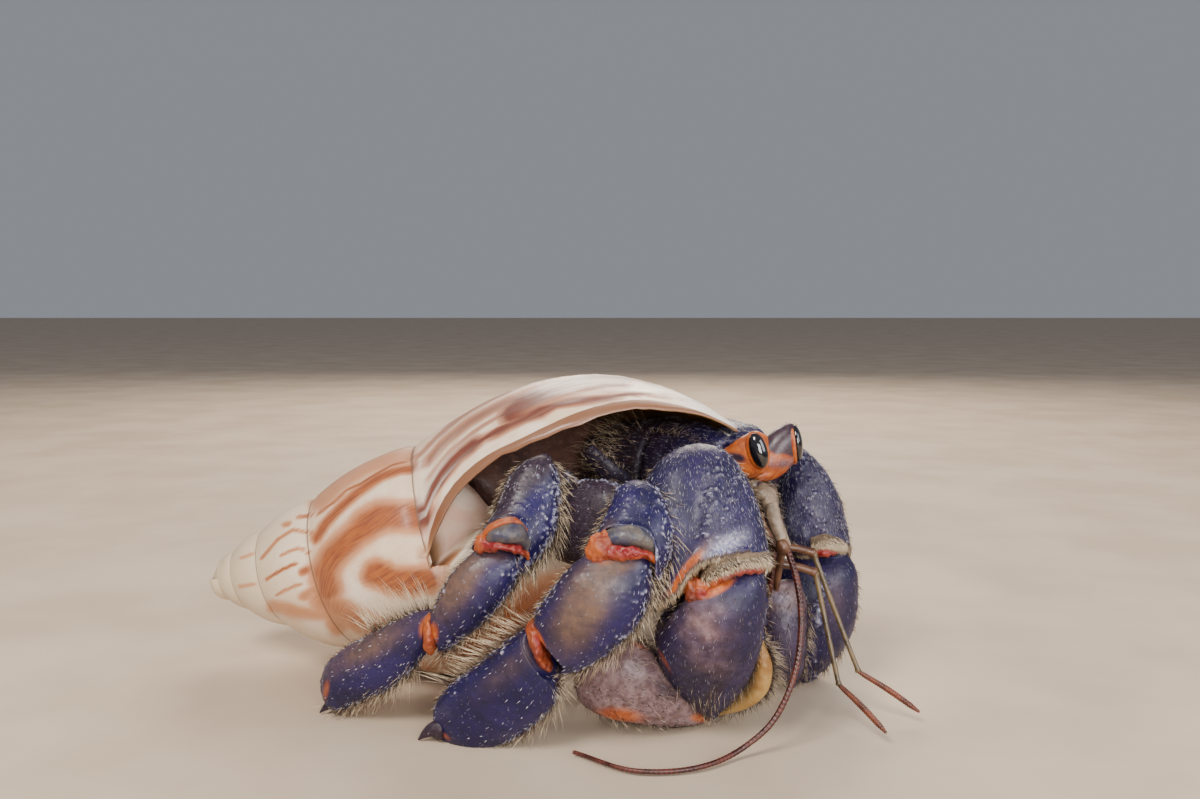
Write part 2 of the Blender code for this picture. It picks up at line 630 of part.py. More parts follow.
def build_legs():
    skins = (PURPLE_MATERIAL, BLUE_MATERIAL, BLUE_MATERIAL, BLUE_MATERIAL)
    right = (0.75, 0.0, 0.65)
    left = (-0.3, -0.6, 0.75)
    tip = (-0.5, 0.1, -0.9)
    pieces = limb("leg3_right_", LEG_SEGMENTS, LEG3_RIGHT,
                  ((0.8, -0.3, 0.5), right, right, (0.5, 0.0, 0.85)), LEG3_SIZES, skins, tip,
                  spines=LEG_SPINES["leg3_right"])
    pieces += limb("leg2_right_", LEG_SEGMENTS, LEG2_RIGHT,
                   ((0.2, 0.0, 1.0), (0.9, 0.0, 0.4), (0.8, 0.0, 0.6), (0.5, 0.0, 0.85)),
                   LEG2_SIZES, skins, tip, spines=LEG_SPINES["leg2_right"])
    pieces += limb("leg2_left_", LEG_SEGMENTS, LEG2_LEFT, (left, left, left, left),
                   scaled(LEG2_SIZES, 0.85), skins, tip, spines=LEG_SPINES["leg2_left"])
    pieces += limb("leg3_left_", LEG_SEGMENTS, LEG3_LEFT, (left, left, left, left),
                   scaled(LEG3_SIZES, 0.85), skins, tip, spines=LEG_SPINES["leg3_left"])
    return pieces


ACROSS = {"right": (0.95, 0.1, -0.2), "left": (0.3, 0.95, 0.0)}     # broad way of each pincer
MERUS_SIZES = ((0, 2.6, 2.2), (0.5, 3.4, 2.8), (1, 3.0, 2.6))
CARPUS_SIZES = {"right": ((0, 3.4, 2.6), (0.2, 5.0, 3.5), (0.55, 6.0, 3.9), (0.86, 5.6, 3.7), (1, 4.6, 3.2)),
                "left": ((0, 2.6, 2.2), (0.2, 4.0, 3.1), (0.55, 5.5, 3.9), (0.86, 5.8, 3.9), (1, 4.8, 3.3))}
# The palm narrows to the fixed finger; the left hand is the larger and is held on edge like a shield
PALM_PATH = {"right": ((11.3, -26.3, 16.0), (11.2, -25.6, 13.0), (10.6, -24.6, 9.8), (11.3, -22.6, 6.3),
                       (13.6, -20.6, 3.6), (13.5, -19.2, 1.6), (11.7, -18.6, -0.1)),
             "left": ((23.2, -8.6, 14.6), (23.2, -8.8, 12.0), (22.6, -9.0, 8.8), (22.2, -8.6, 5.6),
                      (22.0, -7.2, 3.0), (21.8, -7.0, 1.2), (21.6, -7.6, -0.1))}
PALM_SIZE = {"right": ((4.1, 2.8), (4.8, 3.3), (5.2, 3.5), (3.9, 3.1), (1.8, 2.0), (1.2, 1.3), (0.5, 0.5)),
             "left": ((4.8, 3.3), (6.0, 4.0), (6.8, 4.3), (6.0, 3.8), (3.0, 2.6), (1.9, 1.6), (0.7, 0.6))}
FINGER_PATH = {"right": ((-1.6, -23.0, 6.2), (0.4, -22.9, 5.8), (3.2, -22.5, 5.0), (6.2, -21.6, 3.8),
                         (8.9, -20.2, 2.1), (10.7, -19.0, -0.1)),
               "left": ((20.8, -14.6, 8.4), (20.6, -14.4, 6.0), (20.6, -13.6, 3.8), (20.8, -12.6, 1.8),
                        (21.0, -11.9, -0.1))}
FINGER_SIZE = {"right": ((1.5, 1.3), (2.9, 2.3), (3.8, 2.8), (3.4, 2.5), (2.1, 1.8), (0.5, 0.5)),
               "left": ((1.2, 1.2), (2.4, 2.0), (2.5, 2.1), (1.7, 1.5), (0.6, 0.5))}
FINGER_BROAD = {"right": (-0.4, 0.0, 0.9), "left": (0.2, 1.0, 0.2)}


def build_claws():
    """Both pincers: merus, carpus, palm with its fixed finger, and the moving finger."""
    made = []
    for side, points in (("right", CLAW_RIGHT), ("left", CLAW_LEFT)):
        name = "claw_" + side + "_"
        dirs = joint_dirs(points)
        merus = scaled((MERUS_SIZES,), 1.0 if side == "right" else 0.85)[0]
        for i, (segment, sizes, mat) in enumerate((("merus", merus, PURPLE_MATERIAL),
                                                   ("carpus", CARPUS_SIZES[side], BLUE_MATERIAL))):
            rings = limb_rings(points[i], points[i + 1], dirs[i], dirs[i + 1], ACROSS[side], sizes, 14)
            made.append(loft(name + segment, rings, mat))
        palm_rings = path_rings(PALM_PATH[side], PALM_SIZE[side], ACROSS[side], dirs[2], GAP / 2, 14)
        palm = loft(name + "palm", palm_rings, BLUE_MATERIAL)
        finger = loft(name + "finger",
                      path_rings(FINGER_PATH[side], FINGER_SIZE[side], FINGER_BROAD[side], None, 0, 12),
                      ORANGE_MATERIAL)
        clear_of(palm, [finger])
        made += [palm, finger]
    return made


def path_rings(path, sizes, broad, start_dir, trim, count):
    """Rings at the points of a short path, square to it."""
    path = np.asarray(path, float)
    tangents = np.gradient(path, axis=0)
    if start_dir is not None:
        tangents[0] = start_dir
    path = path.copy()
    path[0] = path[0] + unit(tangents[0]) * trim
    return [ring_at(point, tangent, broad, a, b, count)
            for point, tangent, (a, b) in zip(path, tangents, sizes)]


def tube(name, points, radii, mat, sides=2):
    """A thin feeler: a curve with a round section that tapers, made a mesh with its caps welded."""
    curve = bpy.data.curves.new(name, "CURVE")
    curve.dimensions = "3D"
    curve.bevel_depth = MM
    curve.bevel_resolution = sides
    curve.use_fill_caps = True
    spline = curve.splines.new("POLY")
    spline.points.add(len(points) - 1)
    for item, point, radius in zip(spline.points, points, radii):
        item.co = (*(np.asarray(point) * MM), 1)
        item.radius = radius
    source = bpy.data.objects.new(name + "_curve", curve)
    PARTS.objects.link(source)
    source.parent = ORIGIN
    graph = bpy.context.evaluated_depsgraph_get()
    mesh = bpy.data.meshes.new_from_object(source.evaluated_get(graph))
    bpy.data.objects.remove(source, do_unlink=True)
    bm = bmesh.new()
    bm.from_mesh(mesh)
    bmesh.ops.remove_doubles(bm, verts=bm.verts, dist=0.000002)
    bmesh.ops.recalc_face_normals(bm, faces=bm.faces)
    bm.to_mesh(mesh)
    bm.free()
    mesh.materials.clear()
    mesh.materials.append(mat)
    mesh.shade_smooth()
    obj = bpy.data.objects.new(name, mesh)
    PARTS.objects.link(obj)
    obj.parent = ORIGIN
    return obj


def smooth_route(points, count):
    """Evenly spaced points on a smooth curve through a route's own points."""
    points = np.asarray(points, float)
    chord = np.concatenate([[0], np.cumsum(np.linalg.norm(np.diff(points, axis=0), axis=1))])
    fine = np.linspace(0, chord[-1], 400)
    curve = np.stack([hermite_table(chord, points[:, k], fine) for k in range(3)], 1)
    length = np.concatenate([[0], np.cumsum(np.linalg.norm(np.diff(curve, axis=0), axis=1))])
    at = np.linspace(0, length[-1], count)
    return np.stack([np.interp(at, length, curve[:, k]) for k in range(3)], 1)


FLAGELLUM_RIGHT = ((18.1, -20.2, 17.4), (18.7, -22.0, 15.0), (18.6, -25.0, 9.95), (17.4, -26.6, 5.9),
                   (15.6, -27.5, 3.0), (12.6, -28.6, 0.95), (8.6, -31.2, 0.5), (3.4, -31.8, 0.45),
                   (-2.4, -27.8, 0.4))
FLAGELLUM_LEFT = ((18.0, -13.75, 18.3), (17.9, -13.9, 16.0), (17.6, -14.0, 12.5), (17.1, -12.0, 8.0),
                  (17.0, -7.5, 4.4), (17.4, -2.0, 2.0), (19.4, 4.0, 0.7), (24.0, 9.5, 0.42), (29.0, 13.0, 0.4))


def build_feelers():
    """The two pairs of feelers past their bases: flagella of the antennae, and the antennules."""
    made = []
    for side, route in (("right", FLAGELLUM_RIGHT), ("left", FLAGELLUM_LEFT)):
        points = smooth_route(route, 34)
        radii = np.linspace(0.42, 0.27, len(points))
        made.append(tube("antenna_" + side + "_flagellum", points, radii, BROWN_MATERIAL))
    for side, points in (("right", ANTENNULE_RIGHT), ("left", ANTENNULE_LEFT)):
        elbow, knee, tip = (np.array(p) for p in points[3:])
        stalk = list(points[:3]) + [elbow + (points[2] - elbow) * 0.12, elbow + (knee - elbow) * 0.06,
                                    elbow + (knee - elbow) * 0.5, knee - unit(knee - elbow) * GAP]
        radii = (0.55, 0.55, 0.6, 0.6, 0.46, 0.34, 0.36)
        made.append(tube("antennule_" + side + "_stalk", stalk, radii, BROWN_MATERIAL, 1))
        start = knee + unit(tip - knee) * GAP
        lash = [start + f * (tip - start) for f in (0, 0.3, 0.6, 0.85, 1)]
        radii = (0.36, 0.42, 0.46, 0.42, 0.26)
        made.append(tube("antennule_" + side + "_lash", lash, radii, ORANGE_MATERIAL, 1))
    return made


ANTENNA_SIZE = ((1.1, 1.0), (1.45, 1.2), (1.1, 0.95), (0.75, 0.7))
MAXILLIPED_SIZE = ((0.85, 0.8), (0.85, 0.75), (0.5, 0.45))
LEG4_SIZE = ((1.1, 0.8), (1.3, 0.85), (0.9, 0.6))
EYE_SIZES = {"right": ((1.3, 0.9), (1.85, 1.15)), "left": ((1.9, 0.95), (1.95, 1.15))}


def stalk_rings(root, eye, root_size, eye_size, grow=0.0):
    root, eye = np.array(root), np.array(eye)
    ahead = unit(eye - root)
    middle = (root_size[0] + eye_size[0]) / 2 + 0.1
    sizes = (root_size, (middle, 1.0), eye_size)
    return [ring_at(root + (eye - root) * place - ahead * grow * (place == 0), ahead, (0, 0, 1.0),
                    a + grow, b + grow, 12) for place, (a, b) in zip((0, 0.5, 1), sizes)]


def build_eyes(seats):
    """Flattened stalks with a cornea on the end of each; the seats are the pieces that they sit in."""
    made = []
    for side, (root, eye) in (("right", EYE_RIGHT), ("left", EYE_LEFT)):
        root_size, eye_size = EYE_SIZES[side]
        made.append(loft("eyestalk_" + side, stalk_rings(root, eye, root_size, eye_size), ORANGE_MATERIAL))
        room = loft("eyestalk_room_" + side, stalk_rings(root, eye, root_size, eye_size, GAP),
                    ORANGE_MATERIAL, CUTTERS)
        for seat in seats:
            cut(seat, room, "MANIFOLD")
        ahead = unit(np.subtract(eye, root))
        dome = [ring_at(eye + ahead * (GAP / 2 + reach), ahead, (0, 0, 1.0), eye_size[0] * size,
                        eye_size[1] * size, 14, 2.0)
                for reach, size in ((0, 0.97), (0.35, 0.95), (0.75, 0.8), (1.05, 0.5), (1.15, 0.2))]
        made.append(loft("cornea_" + side, dome, CORNEA_MATERIAL))
    return made


def build_mouthparts(seats):
    """Bases of the antennae, the outer maxillipeds, and the small fourth legs, each let into the body."""
    made = []
    for name, path, sizes, broad, mat in (
            ("antenna_right_base", ANTENNA_RIGHT, ANTENNA_SIZE, (0, 0, 1.0), PURPLE_MATERIAL),
            ("antenna_left_base", ANTENNA_LEFT, scaled((ANTENNA_SIZE,), 0.8)[0], (0, 0, 1.0), PURPLE_MATERIAL),
            ("maxilliped_right", MAXILLIPED_RIGHT, MAXILLIPED_SIZE, CRAB_LEFT, ORANGE_MATERIAL),
            ("maxilliped_left", MAXILLIPED_LEFT, MAXILLIPED_SIZE, CRAB_LEFT, ORANGE_MATERIAL),
            ("leg4_right", LEG4_RIGHT, LEG4_SIZE, (0.3, -0.6, 0.7), PURPLE_MATERIAL),
            ("leg4_left", LEG4_LEFT, LEG4_SIZE, (0.3, 0.6, 0.7), PURPLE_MATERIAL)):
        made.append(loft(name, path_rings(path, sizes, broad, None, 0, 10), mat))
        grown = tuple((a + GAP, b + GAP) for a, b in sizes)
        room = loft(name + "_room", path_rings(path, grown, broad, None, -GAP, 10), mat, CUTTERS)
        for seat in seats:
            cut(seat, room, "MANIFOLD")
    return made


def body_rings(stations, low, count=16):
    """Half-round sections across the body. A station is (back, height of its flat side, half breadth,
    height, turn to the left)."""
    rings = []
    for back, sink, half_breadth, height, turn in stations:
        ahead = np.array([math.cos(turn) * CRAB_AHEAD[0] + math.sin(turn) * CRAB_LEFT[0],
                          math.cos(turn) * CRAB_AHEAD[1] + math.sin(turn) * CRAB_LEFT[1], 0.0])
        left = np.array([-ahead[1], ahead[0], 0.0])
        angles = np.linspace(0, math.pi, count)
        middle = HEAD - CRAB_AHEAD * back
        middle[2] = sink
        points = [middle + left * half_breadth * np.sign(math.cos(a)) * abs(math.cos(a)) ** 0.8
                  + np.array([0, 0, (height if not low else -height) * math.sin(a) ** 0.8]) for a in angles]
        rings.append(np.array(points))
    return rings


BACK_STATIONS = ((-1.2, 22.8, 3.4, 4.6, 0.0), (0.6, 22.6, 5.2, 5.8, 0.0), (5.0, 22.2, 6.6, 6.6, 0.05),
                 (9.5, 21.8, 7.4, 6.8, 0.1))
REAR_STATIONS = ((9.9, 21.8, 7.4, 6.8, 0.1), (14.0, 21.4, 7.8, 6.6, 0.2), (19.0, 20.6, 7.2, 6.4, 0.4),
                 (24.0, 20.0, 6.0, 6.0, 0.6))
CHEST_STATIONS = ((-1.2, 22.4, 3.9, 6.8, 0.0), (3.0, 22.0, 5.6, 8.8, 0.0), (9.5, 21.4, 6.6, 8.2, 0.1),
                  (16.0, 20.8, 6.6, 6.8, 0.3), (22.0, 20.0, 5.4, 5.6, 0.5))


def stub(name, inside, outside, direction, broad, size, mat, count=12):
    """A short root that ends in a flat face where a limb begins."""
    inside, outside = np.asarray(inside, float), np.asarray(outside, float)
    direction = unit(direction)
    outside = outside - direction * GAP / 2
    rings = [ring_at(inside, outside - inside, broad, size[0] * 0.8, size[1] * 0.8, count),
             ring_at(outside - direction * 0.6, direction, broad, size[0], size[1], count),
             ring_at(outside, direction, broad, size[0], size[1], count)]
    return hull(name, np.concatenate(rings), mat)


def hull(name, points, mat, collection=PARTS):
    """The smallest bulging solid round some points."""
    obj = mesh_object(name, points, [], mat, collection)
    bm = bmesh.new()
    bm.from_mesh(obj.data)
    result = bmesh.ops.convex_hull(bm, input=bm.verts)
    spare = {item for item in result["geom_interior"] + result["geom_unused"]
             if isinstance(item, bmesh.types.BMVert)}
    bmesh.ops.delete(bm, geom=list(spare), context="VERTS")
    bmesh.ops.recalc_face_normals(bm, faces=bm.faces)
    bm.to_mesh(obj.data)
    bm.free()
    return obj


def build_body():
    """Carapace in two plates, the chest that carries every limb, and the abdomen in the shell."""
    shield = loft("carapace_shield", body_rings(BACK_STATIONS, False), BLUE_MATERIAL)
    rear = loft("carapace_rear", body_rings(REAR_STATIONS, False), PURPLE_MATERIAL)
    chest = loft("chest", body_rings(CHEST_STATIONS, True), PURPLE_MATERIAL)
    cavity_loft("abdomen", ABDOMEN_FROM, ABDOMEN_TO, 9, WALL + GAP + 0.1, GAP * 2, SOFT_MATERIAL, PARTS, 0.96)
    roots = []
    for name, points, broad, size in (
            ("claw_right", CLAW_RIGHT, ACROSS["right"], (2.6, 2.2)),
            ("claw_left", CLAW_LEFT, ACROSS["left"], (2.7, 2.3)),
            ("leg2_right", LEG2_RIGHT, (0.2, 0.0, 1.0), (2.2, 1.8)),
            ("leg3_right", LEG3_RIGHT, (0.8, -0.3, 0.5), (1.8, 1.4)),
            ("leg2_left", LEG2_LEFT, (-0.3, -0.6, 0.75), (1.9, 1.5)),
            ("leg3_left", LEG3_LEFT, (-0.3, -0.6, 0.75), (1.5, 1.2))):
        root = np.array(points[0])
        direction = unit(np.subtract(points[1], points[0]))
        back = np.dot(HEAD - root, CRAB_AHEAD)
        middle = HEAD - CRAB_AHEAD * np.clip(back, 3.0, 14.0)
        middle[2] = 18.0
        inside = middle + (root - middle) * 0.2
        roots.append(stub(name + "_root", inside, root, direction, broad, size, PURPLE_MATERIAL))
    fuse(chest, roots)
    room = shell_form("shell_room", GAP, SHELL_MATERIAL, CUTTERS)
    behind = cavity_loft("abdomen_room", ABDOMEN_FROM + math.radians(9.0), ABDOMEN_TO, 9, WALL + 0.05, 0.3,
                         SOFT_MATERIAL, CUTTERS)
    pillar = axis_rod("pillar_room", 20.0, THROAT_FROM + GAP, COLUMELLA + 3 * GAP)
    for piece in (shield, rear, chest):
        for cutter in (room, behind, pillar):
            cut(piece, cutter, "MANIFOLD")
    return shield, rear, chest


def main():
    shell = shell_form("shell", 0.0, SHELL_MATERIAL, PARTS)
    rest_flat(shell)
    shield, rear, chest = build_body()
    limbs = {piece.name: piece for piece in build_legs() + build_claws()}
    near_body = [piece for name, piece in limbs.items() if name.endswith("merus")]
    clear_of(chest, near_body + [limbs["claw_left_carpus"]])
    clear_of(shield, near_body)
    clear_of(limbs["leg2_right_merus"], [limbs["claw_right_carpus"]])
    clear_of(limbs["leg2_right_carpus"], [limbs["claw_right_carpus"]])
    clear_of(limbs["leg2_left_propodus"], [limbs["leg3_left_carpus"]])
    clear_of(limbs["claw_left_merus"], [limbs["claw_left_carpus"]])
    for piece in limbs.values():
        rest_flat(piece)
    build_eyes((shield, chest))
    build_mouthparts((shield, rear, chest))
    feelers = build_feelers()
    clear_of(chest, [piece for piece in feelers if piece.name.endswith("stalk")])


main()
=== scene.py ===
"""Looks of a blueberry land hermit crab in a giant land snail's shell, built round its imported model.

Shapes are written in millimetres, in the same coordinates as the part's source, and moved into the frame.
"""

import math
from collections import namedtuple

import bmesh
import bpy
import numpy as np
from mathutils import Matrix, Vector

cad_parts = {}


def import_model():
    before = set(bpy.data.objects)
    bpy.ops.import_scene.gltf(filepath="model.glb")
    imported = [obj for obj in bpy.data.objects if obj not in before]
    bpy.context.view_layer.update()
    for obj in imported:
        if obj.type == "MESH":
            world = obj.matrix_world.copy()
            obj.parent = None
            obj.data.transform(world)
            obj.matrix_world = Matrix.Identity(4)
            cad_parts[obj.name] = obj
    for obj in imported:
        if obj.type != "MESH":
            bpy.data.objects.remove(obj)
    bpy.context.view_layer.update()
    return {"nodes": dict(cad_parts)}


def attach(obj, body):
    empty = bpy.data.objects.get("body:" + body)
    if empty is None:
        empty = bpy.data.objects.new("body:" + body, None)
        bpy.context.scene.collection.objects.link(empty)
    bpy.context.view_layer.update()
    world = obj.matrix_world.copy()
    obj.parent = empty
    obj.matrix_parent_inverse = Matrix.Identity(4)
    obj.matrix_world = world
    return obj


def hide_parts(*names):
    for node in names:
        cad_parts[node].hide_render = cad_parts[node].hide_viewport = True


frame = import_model()

MM = 0.001
PLACE = (7.53, 6.72)
TURN = 2.0 * math.pi
EYE_POINT = np.array([0.0, -120.0, 41.0])      # the camera, in the source's millimetres
CAMERA_TILT = 5.2                              # degrees below the horizon
LENS = 31.5
SENSOR = 36.0
PHOTO = (1200, 799)
FLOOR_GAP = 0.02                               # fine pieces stay this far above the floor

# Shell
SHELL_APEX = np.array([-46.3, 1.0, 8.7])
SHELL_YAW = math.radians(8.0)
SHELL_PITCH = math.radians(8.1)
WHORLS = 5.0
GROWTH = 1.84
LAST_SUTURE = 27.8
LIP_ANGLE = math.radians(80.0)
SPIRE_SIZE = 1.08
SPIRE_POWER = 0.74
WHORL_BULGE = 0.09
BODY_LENGTH = 2.36
BODY_AT = (0, 0.145, 0.266, 0.484, 0.69, 0.81, 0.884, 0.955, 0.985, 1.0)
BODY_RADIUS = (1, 1.20, 1.335, 1.43, 1.31, 1.12, 0.905, 0.55, 0.315, 0.0)
UNDERSIDE_FLAT = 0.06
WALL = 0.9
LIP_WALL = 0.34
APEX_LENGTH = 3.2                              # the part of the spire that is widened to a blunt tip
APEX_CAP = 1.8                                 # the part of it that is drawn back
SHELL_LENGTH = 60.0
SHELL_GRID = (200, 16, 34)                     # columns a turn, rows of a whorl, rows of the last turn's base
HOLLOW_GRID = (60, 60, 26)                     # sections, points on their outer and on their inner side
LIP_REACH = math.radians(8.0)                  # the cutting body of the hollow starts this far past the lip
COLUMELLA = 1.6
GAP = 0.3                                      # what the hollow leaves on the pillar
THROAT_FROM = 45.0
THROAT_TO = 68.0
THROAT_RADIUS = 4.6
CAVITY_TURN = math.radians(200.0)
MOUTH_POINT = np.array([14.6, -15.0, 30.0])
MOUTH_LEAN = 0.25
MOUTH_RAKE = 0.21
MOUTH_BLOCK = 40.0

# Crab: joints from the body outwards; of limbs that follow outlines in the photograph only the first ones are needed
CRAB_AHEAD = np.array([0.743, -0.669, 0.0])
CRAB_LEFT = np.array([0.669, 0.743, 0.0])
UP = np.array([0.0, 0.0, 1.0])
HEAD = np.array([15.5, -11.0, 25.0])
CLAW_RIGHT = ((8.2, -13.0, 17.0), (8.6, -19.6, 24.2), (11.0, -26.2, 16.0))
CLAW_LEFT = ((16.2, -7.4, 17.0), (19.6, -5.6, 23.6), (23.2, -8.6, 14.6))
LEG3_RIGHT = ((-3.6, -9.8, 18.5), (-5.2, -18.6, 25.6), (-8.9, -24.0, 18.3))
LEG2_LEFT = ((15.4, -3.6, 15.6), (18.0, 2.8, 17.2), (17.8, 8.0, 15.0), (14.5, 12.4, 7.8), (7.0, 17.4, 0.0))
LEG3_LEFT = ((11.4, -2.4, 14.4), (12.2, 4.2, 14.6), (10.2, 9.0, 12.5), (4.6, 13.8, 6.2), (-4.6, 17.4, 0.0))
LEG_SEGMENTS = ("merus", "carpus", "propodus", "dactyl")
ANTENNA_RIGHT = ((14.0, -13.8, 22.5), (16.3, -16.8, 22.3), (17.1, -18.5, 20.0), (18.0, -20.0, 17.7))
ANTENNA_LEFT = ((17.2, -10.6, 21.9), (17.7, -12.3, 21.6), (17.9, -13.4, 20.2), (18.0, -13.7, 18.6))
ANTENNULE_RIGHT = ((15.1, -13.7, 20.4), (15.9, -15.8, 18.0), (16.9, -17.2, 15.2), (21.5, -17.2, 14.3),
                   (23.3, -20.5, 4.0), (26.6, -25.6, 1.3))
ANTENNULE_LEFT = ((16.1, -12.4, 20.2), (16.6, -14.1, 18.6), (17.7, -15.9, 16.5), (21.6, -15.6, 15.9),
                  (25.7, -18.5, 4.6), (31.2, -20.6, 1.3))
MAXILLIPED_RIGHT = ((15.1, -13.75, 17.9), (15.6, -14.3, 15.4), (15.7, -14.2, 12.6))
MAXILLIPED_LEFT = ((16.6, -12.1, 17.9), (16.9, -12.7, 15.4), (16.6, -12.6, 12.6))
LEG4_RIGHT = ((3.4, -10.9, 21.4), (1.0, -12.6, 23.6), (-1.2, -12.4, 26.0))
LEG4_LEFT = ((12.4, -0.6, 18.6), (13.2, 1.4, 20.0), (12.2, 2.8, 21.6))
FLAGELLUM_RIGHT = ((18.1, -20.2, 17.4), (18.7, -22.0, 15.0), (18.6, -25.0, 9.95), (17.4, -26.6, 5.9),
                   (15.6, -27.5, 3.0), (12.6, -28.6, 0.95), (8.6, -31.2, 0.5), (3.4, -31.8, 0.45),
                   (-2.4, -27.8, 0.4))
FLAGELLUM_LEFT = ((18.0, -13.75, 18.3), (17.9, -13.9, 16.0), (17.6, -14.0, 12.5), (17.1, -12.0, 8.0),
                  (17.0, -7.5, 4.4), (17.4, -2.0, 2.0), (19.4, 4.0, 0.7), (24.0, 9.5, 0.42), (29.0, 13.0, 0.4))


# Small maths

def unit(v):
    v = np.asarray(v, float)
    return v / np.maximum(np.linalg.norm(v, axis=-1, keepdims=True), 1e-12)


def smoothstep(x):
    x = np.clip(x, 0.0, 1.0)
    return x * x * (3.0 - 2.0 * x)


def bump(x, middle, width):
    """A soft hill of height 1 round a value."""
    return np.exp(-((x - middle) / width) ** 2)


def turn_gap(a, b):
    """Smallest signed difference between two angles."""
    return (a - b + math.pi) % TURN - math.pi


def hermite_table(xs, ys, x):
    xs, ys = np.asarray(xs, float), np.asarray(ys, float)
    slopes = np.gradient(ys, xs)
    i = np.clip(np.searchsorted(xs, x, side="right") - 1, 0, len(xs) - 2)
    h = xs[i + 1] - xs[i]
    t = np.clip((x - xs[i]) / h, 0.0, 1.0)
    return ((2 * t**3 - 3 * t**2 + 1) * ys[i] + (t**3 - 2 * t**2 + t) * h * slopes[i]
            + (3 * t**2 - 2 * t**3) * ys[i + 1] + (t**3 - t**2) * h * slopes[i + 1])


def hash_grid(i, j, k, seed):
    """Repeatable random number 0..1 for whole-number places."""
    n = (i.astype(np.int64) * 73856093) ^ (j.astype(np.int64) * 19349663) ^ (k.astype(np.int64) * 83492791)
    n = (n ^ (seed * 2654435761)) & 0xFFFFFFFF
    n = ((n ^ (n >> 15)) * 2246822519) & 0xFFFFFFFF
    n = ((n ^ (n >> 13)) * 3266489917) & 0xFFFFFFFF
    return ((n ^ (n >> 16)) & 0xFFFFFF) / float(0xFFFFFF)


def noise3(points, size, seed):
    """Smooth noise, -1..1, whose features are about `size` across."""
    p = np.asarray(points, float) / size
    cell = np.floor(p).astype(np.int64)
    f = p - cell
    f = f * f * (3 - 2 * f)
    total = 0.0
    for dx in (0, 1):
        for dy in (0, 1):
            for dz in (0, 1):
                weight = ((f[..., 0] if dx else 1 - f[..., 0]) * (f[..., 1] if dy else 1 - f[..., 1])
                          * (f[..., 2] if dz else 1 - f[..., 2]))
                total = total + weight * hash_grid(cell[..., 0] + dx, cell[..., 1] + dy, cell[..., 2] + dz, seed)
    return total * 2 - 1


def noise1(x, size, seed):
    x = np.asarray(x, float)
    return noise3(np.stack([x, np.zeros_like(x), np.zeros_like(x)], -1), size, seed)


def run_lengths(path):
    """Distance along a path at each of its points."""
    return np.concatenate([[0], np.cumsum(np.linalg.norm(np.diff(path, axis=0), axis=1))])


def table(rows, t):
    """Smooth values at t: an array for each column of a table after the first, which holds the places."""
    at, *columns = zip(*rows)
    return [hermite_table(at, column, t) for column in columns]


def across_path(broad, along):
    """Directions at right angles to a path, as near to a given one as they can be."""
    broad = np.asarray(broad, float)
    return unit(broad - (along @ broad)[:, None] * along)


def world(points):
    p = np.array(points, float)
    p[..., 0] += PLACE[0]
    p[..., 1] += PLACE[1]
    return p * MM


def pixel(points):
    """Where points in millimetres fall in the photograph."""
    p = np.asarray(points, float) - EYE_POINT
    tilt = math.radians(CAMERA_TILT)
    ahead = p[..., 1] * math.cos(tilt) - p[..., 2] * math.sin(tilt)
    up = p[..., 1] * math.sin(tilt) + p[..., 2] * math.cos(tilt)
    f = PHOTO[0] * LENS / SENSOR
    return np.stack([PHOTO[0] / 2 + f * p[..., 0] / ahead, PHOTO[1] / 2 - f * up / ahead], -1)


# Meshes

def new_mesh(name, points, faces, mat, corner_data=None, point_data=None, colours=None, uv=None):
    """An object from arrays: points in mm, faces as a list of (n, 3) and (n, 4) index arrays."""
    faces = [np.asarray(f, dtype=np.int64).reshape(-1, np.shape(f)[-1]) for f in faces if len(f)]
    mesh = bpy.data.meshes.new(name)
    mesh.vertices.add(len(points))
    mesh.vertices.foreach_set("co", world(points).astype(np.float32).ravel())
    loops = np.concatenate([f.ravel() for f in faces])
    sizes = np.concatenate([np.full(len(f), f.shape[1]) for f in faces])
    starts = np.concatenate([[0], np.cumsum(sizes)[:-1]])
    mesh.loops.add(len(loops))
    mesh.loops.foreach_set("vertex_index", loops.astype(np.int32))
    mesh.polygons.add(len(sizes))
    mesh.polygons.foreach_set("loop_start", starts.astype(np.int32))
    mesh.update(calc_edges=True)
    mesh.polygons.foreach_set("use_smooth", np.ones(len(mesh.polygons), dtype=bool))
    for layers, kind, domain, field in ((point_data, "FLOAT", "POINT", "value"),
                                        (corner_data, "FLOAT", "CORNER", "value"),
                                        (colours, "FLOAT_COLOR", "POINT", "color")):
        for key, values in (layers or {}).items():
            layer = mesh.attributes.new(key, kind, domain)
            layer.data.foreach_set(field, np.asarray(values, np.float32).ravel())
    if uv is not None:
        layer = mesh.uv_layers.new(name="OFBake")
        layer.data.foreach_set("uv", np.asarray(uv, np.float32)[loops].ravel())
    mesh.validate()
    mesh.materials.append(mat)
    obj = bpy.data.objects.new(name, mesh)
    bpy.context.scene.collection.objects.link(obj)
    return obj


def settle(obj, slot, *nodes):
    """Says what a piece rides on and hides the imported nodes that it stands for. The slot is not used."""
    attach(obj, "root")
    if nodes:
        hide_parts(*nodes)
    return obj


def grid_faces(rows, cols, offset=0, wrap=True):
    i = np.arange(rows - 1)[:, None]
    j = np.arange(cols if wrap else cols - 1)[None, :]
    k = (j + 1) % cols
    faces = np.stack([i * cols + j, i * cols + k, (i + 1) * cols + k, (i + 1) * cols + j], -1)
    return faces.reshape(-1, 4) + offset


def end_fans(rows, cols):
    """Triangles that close both ends of a tube of points onto the two points that follow it."""
    j = np.arange(cols)
    k = (j + 1) % cols
    count = rows * cols
    return np.concatenate([np.stack([k, j, np.full(cols, count)], 1),
                           np.stack([count - cols + j, count - cols + k, np.full(cols, count + 1)], 1)])


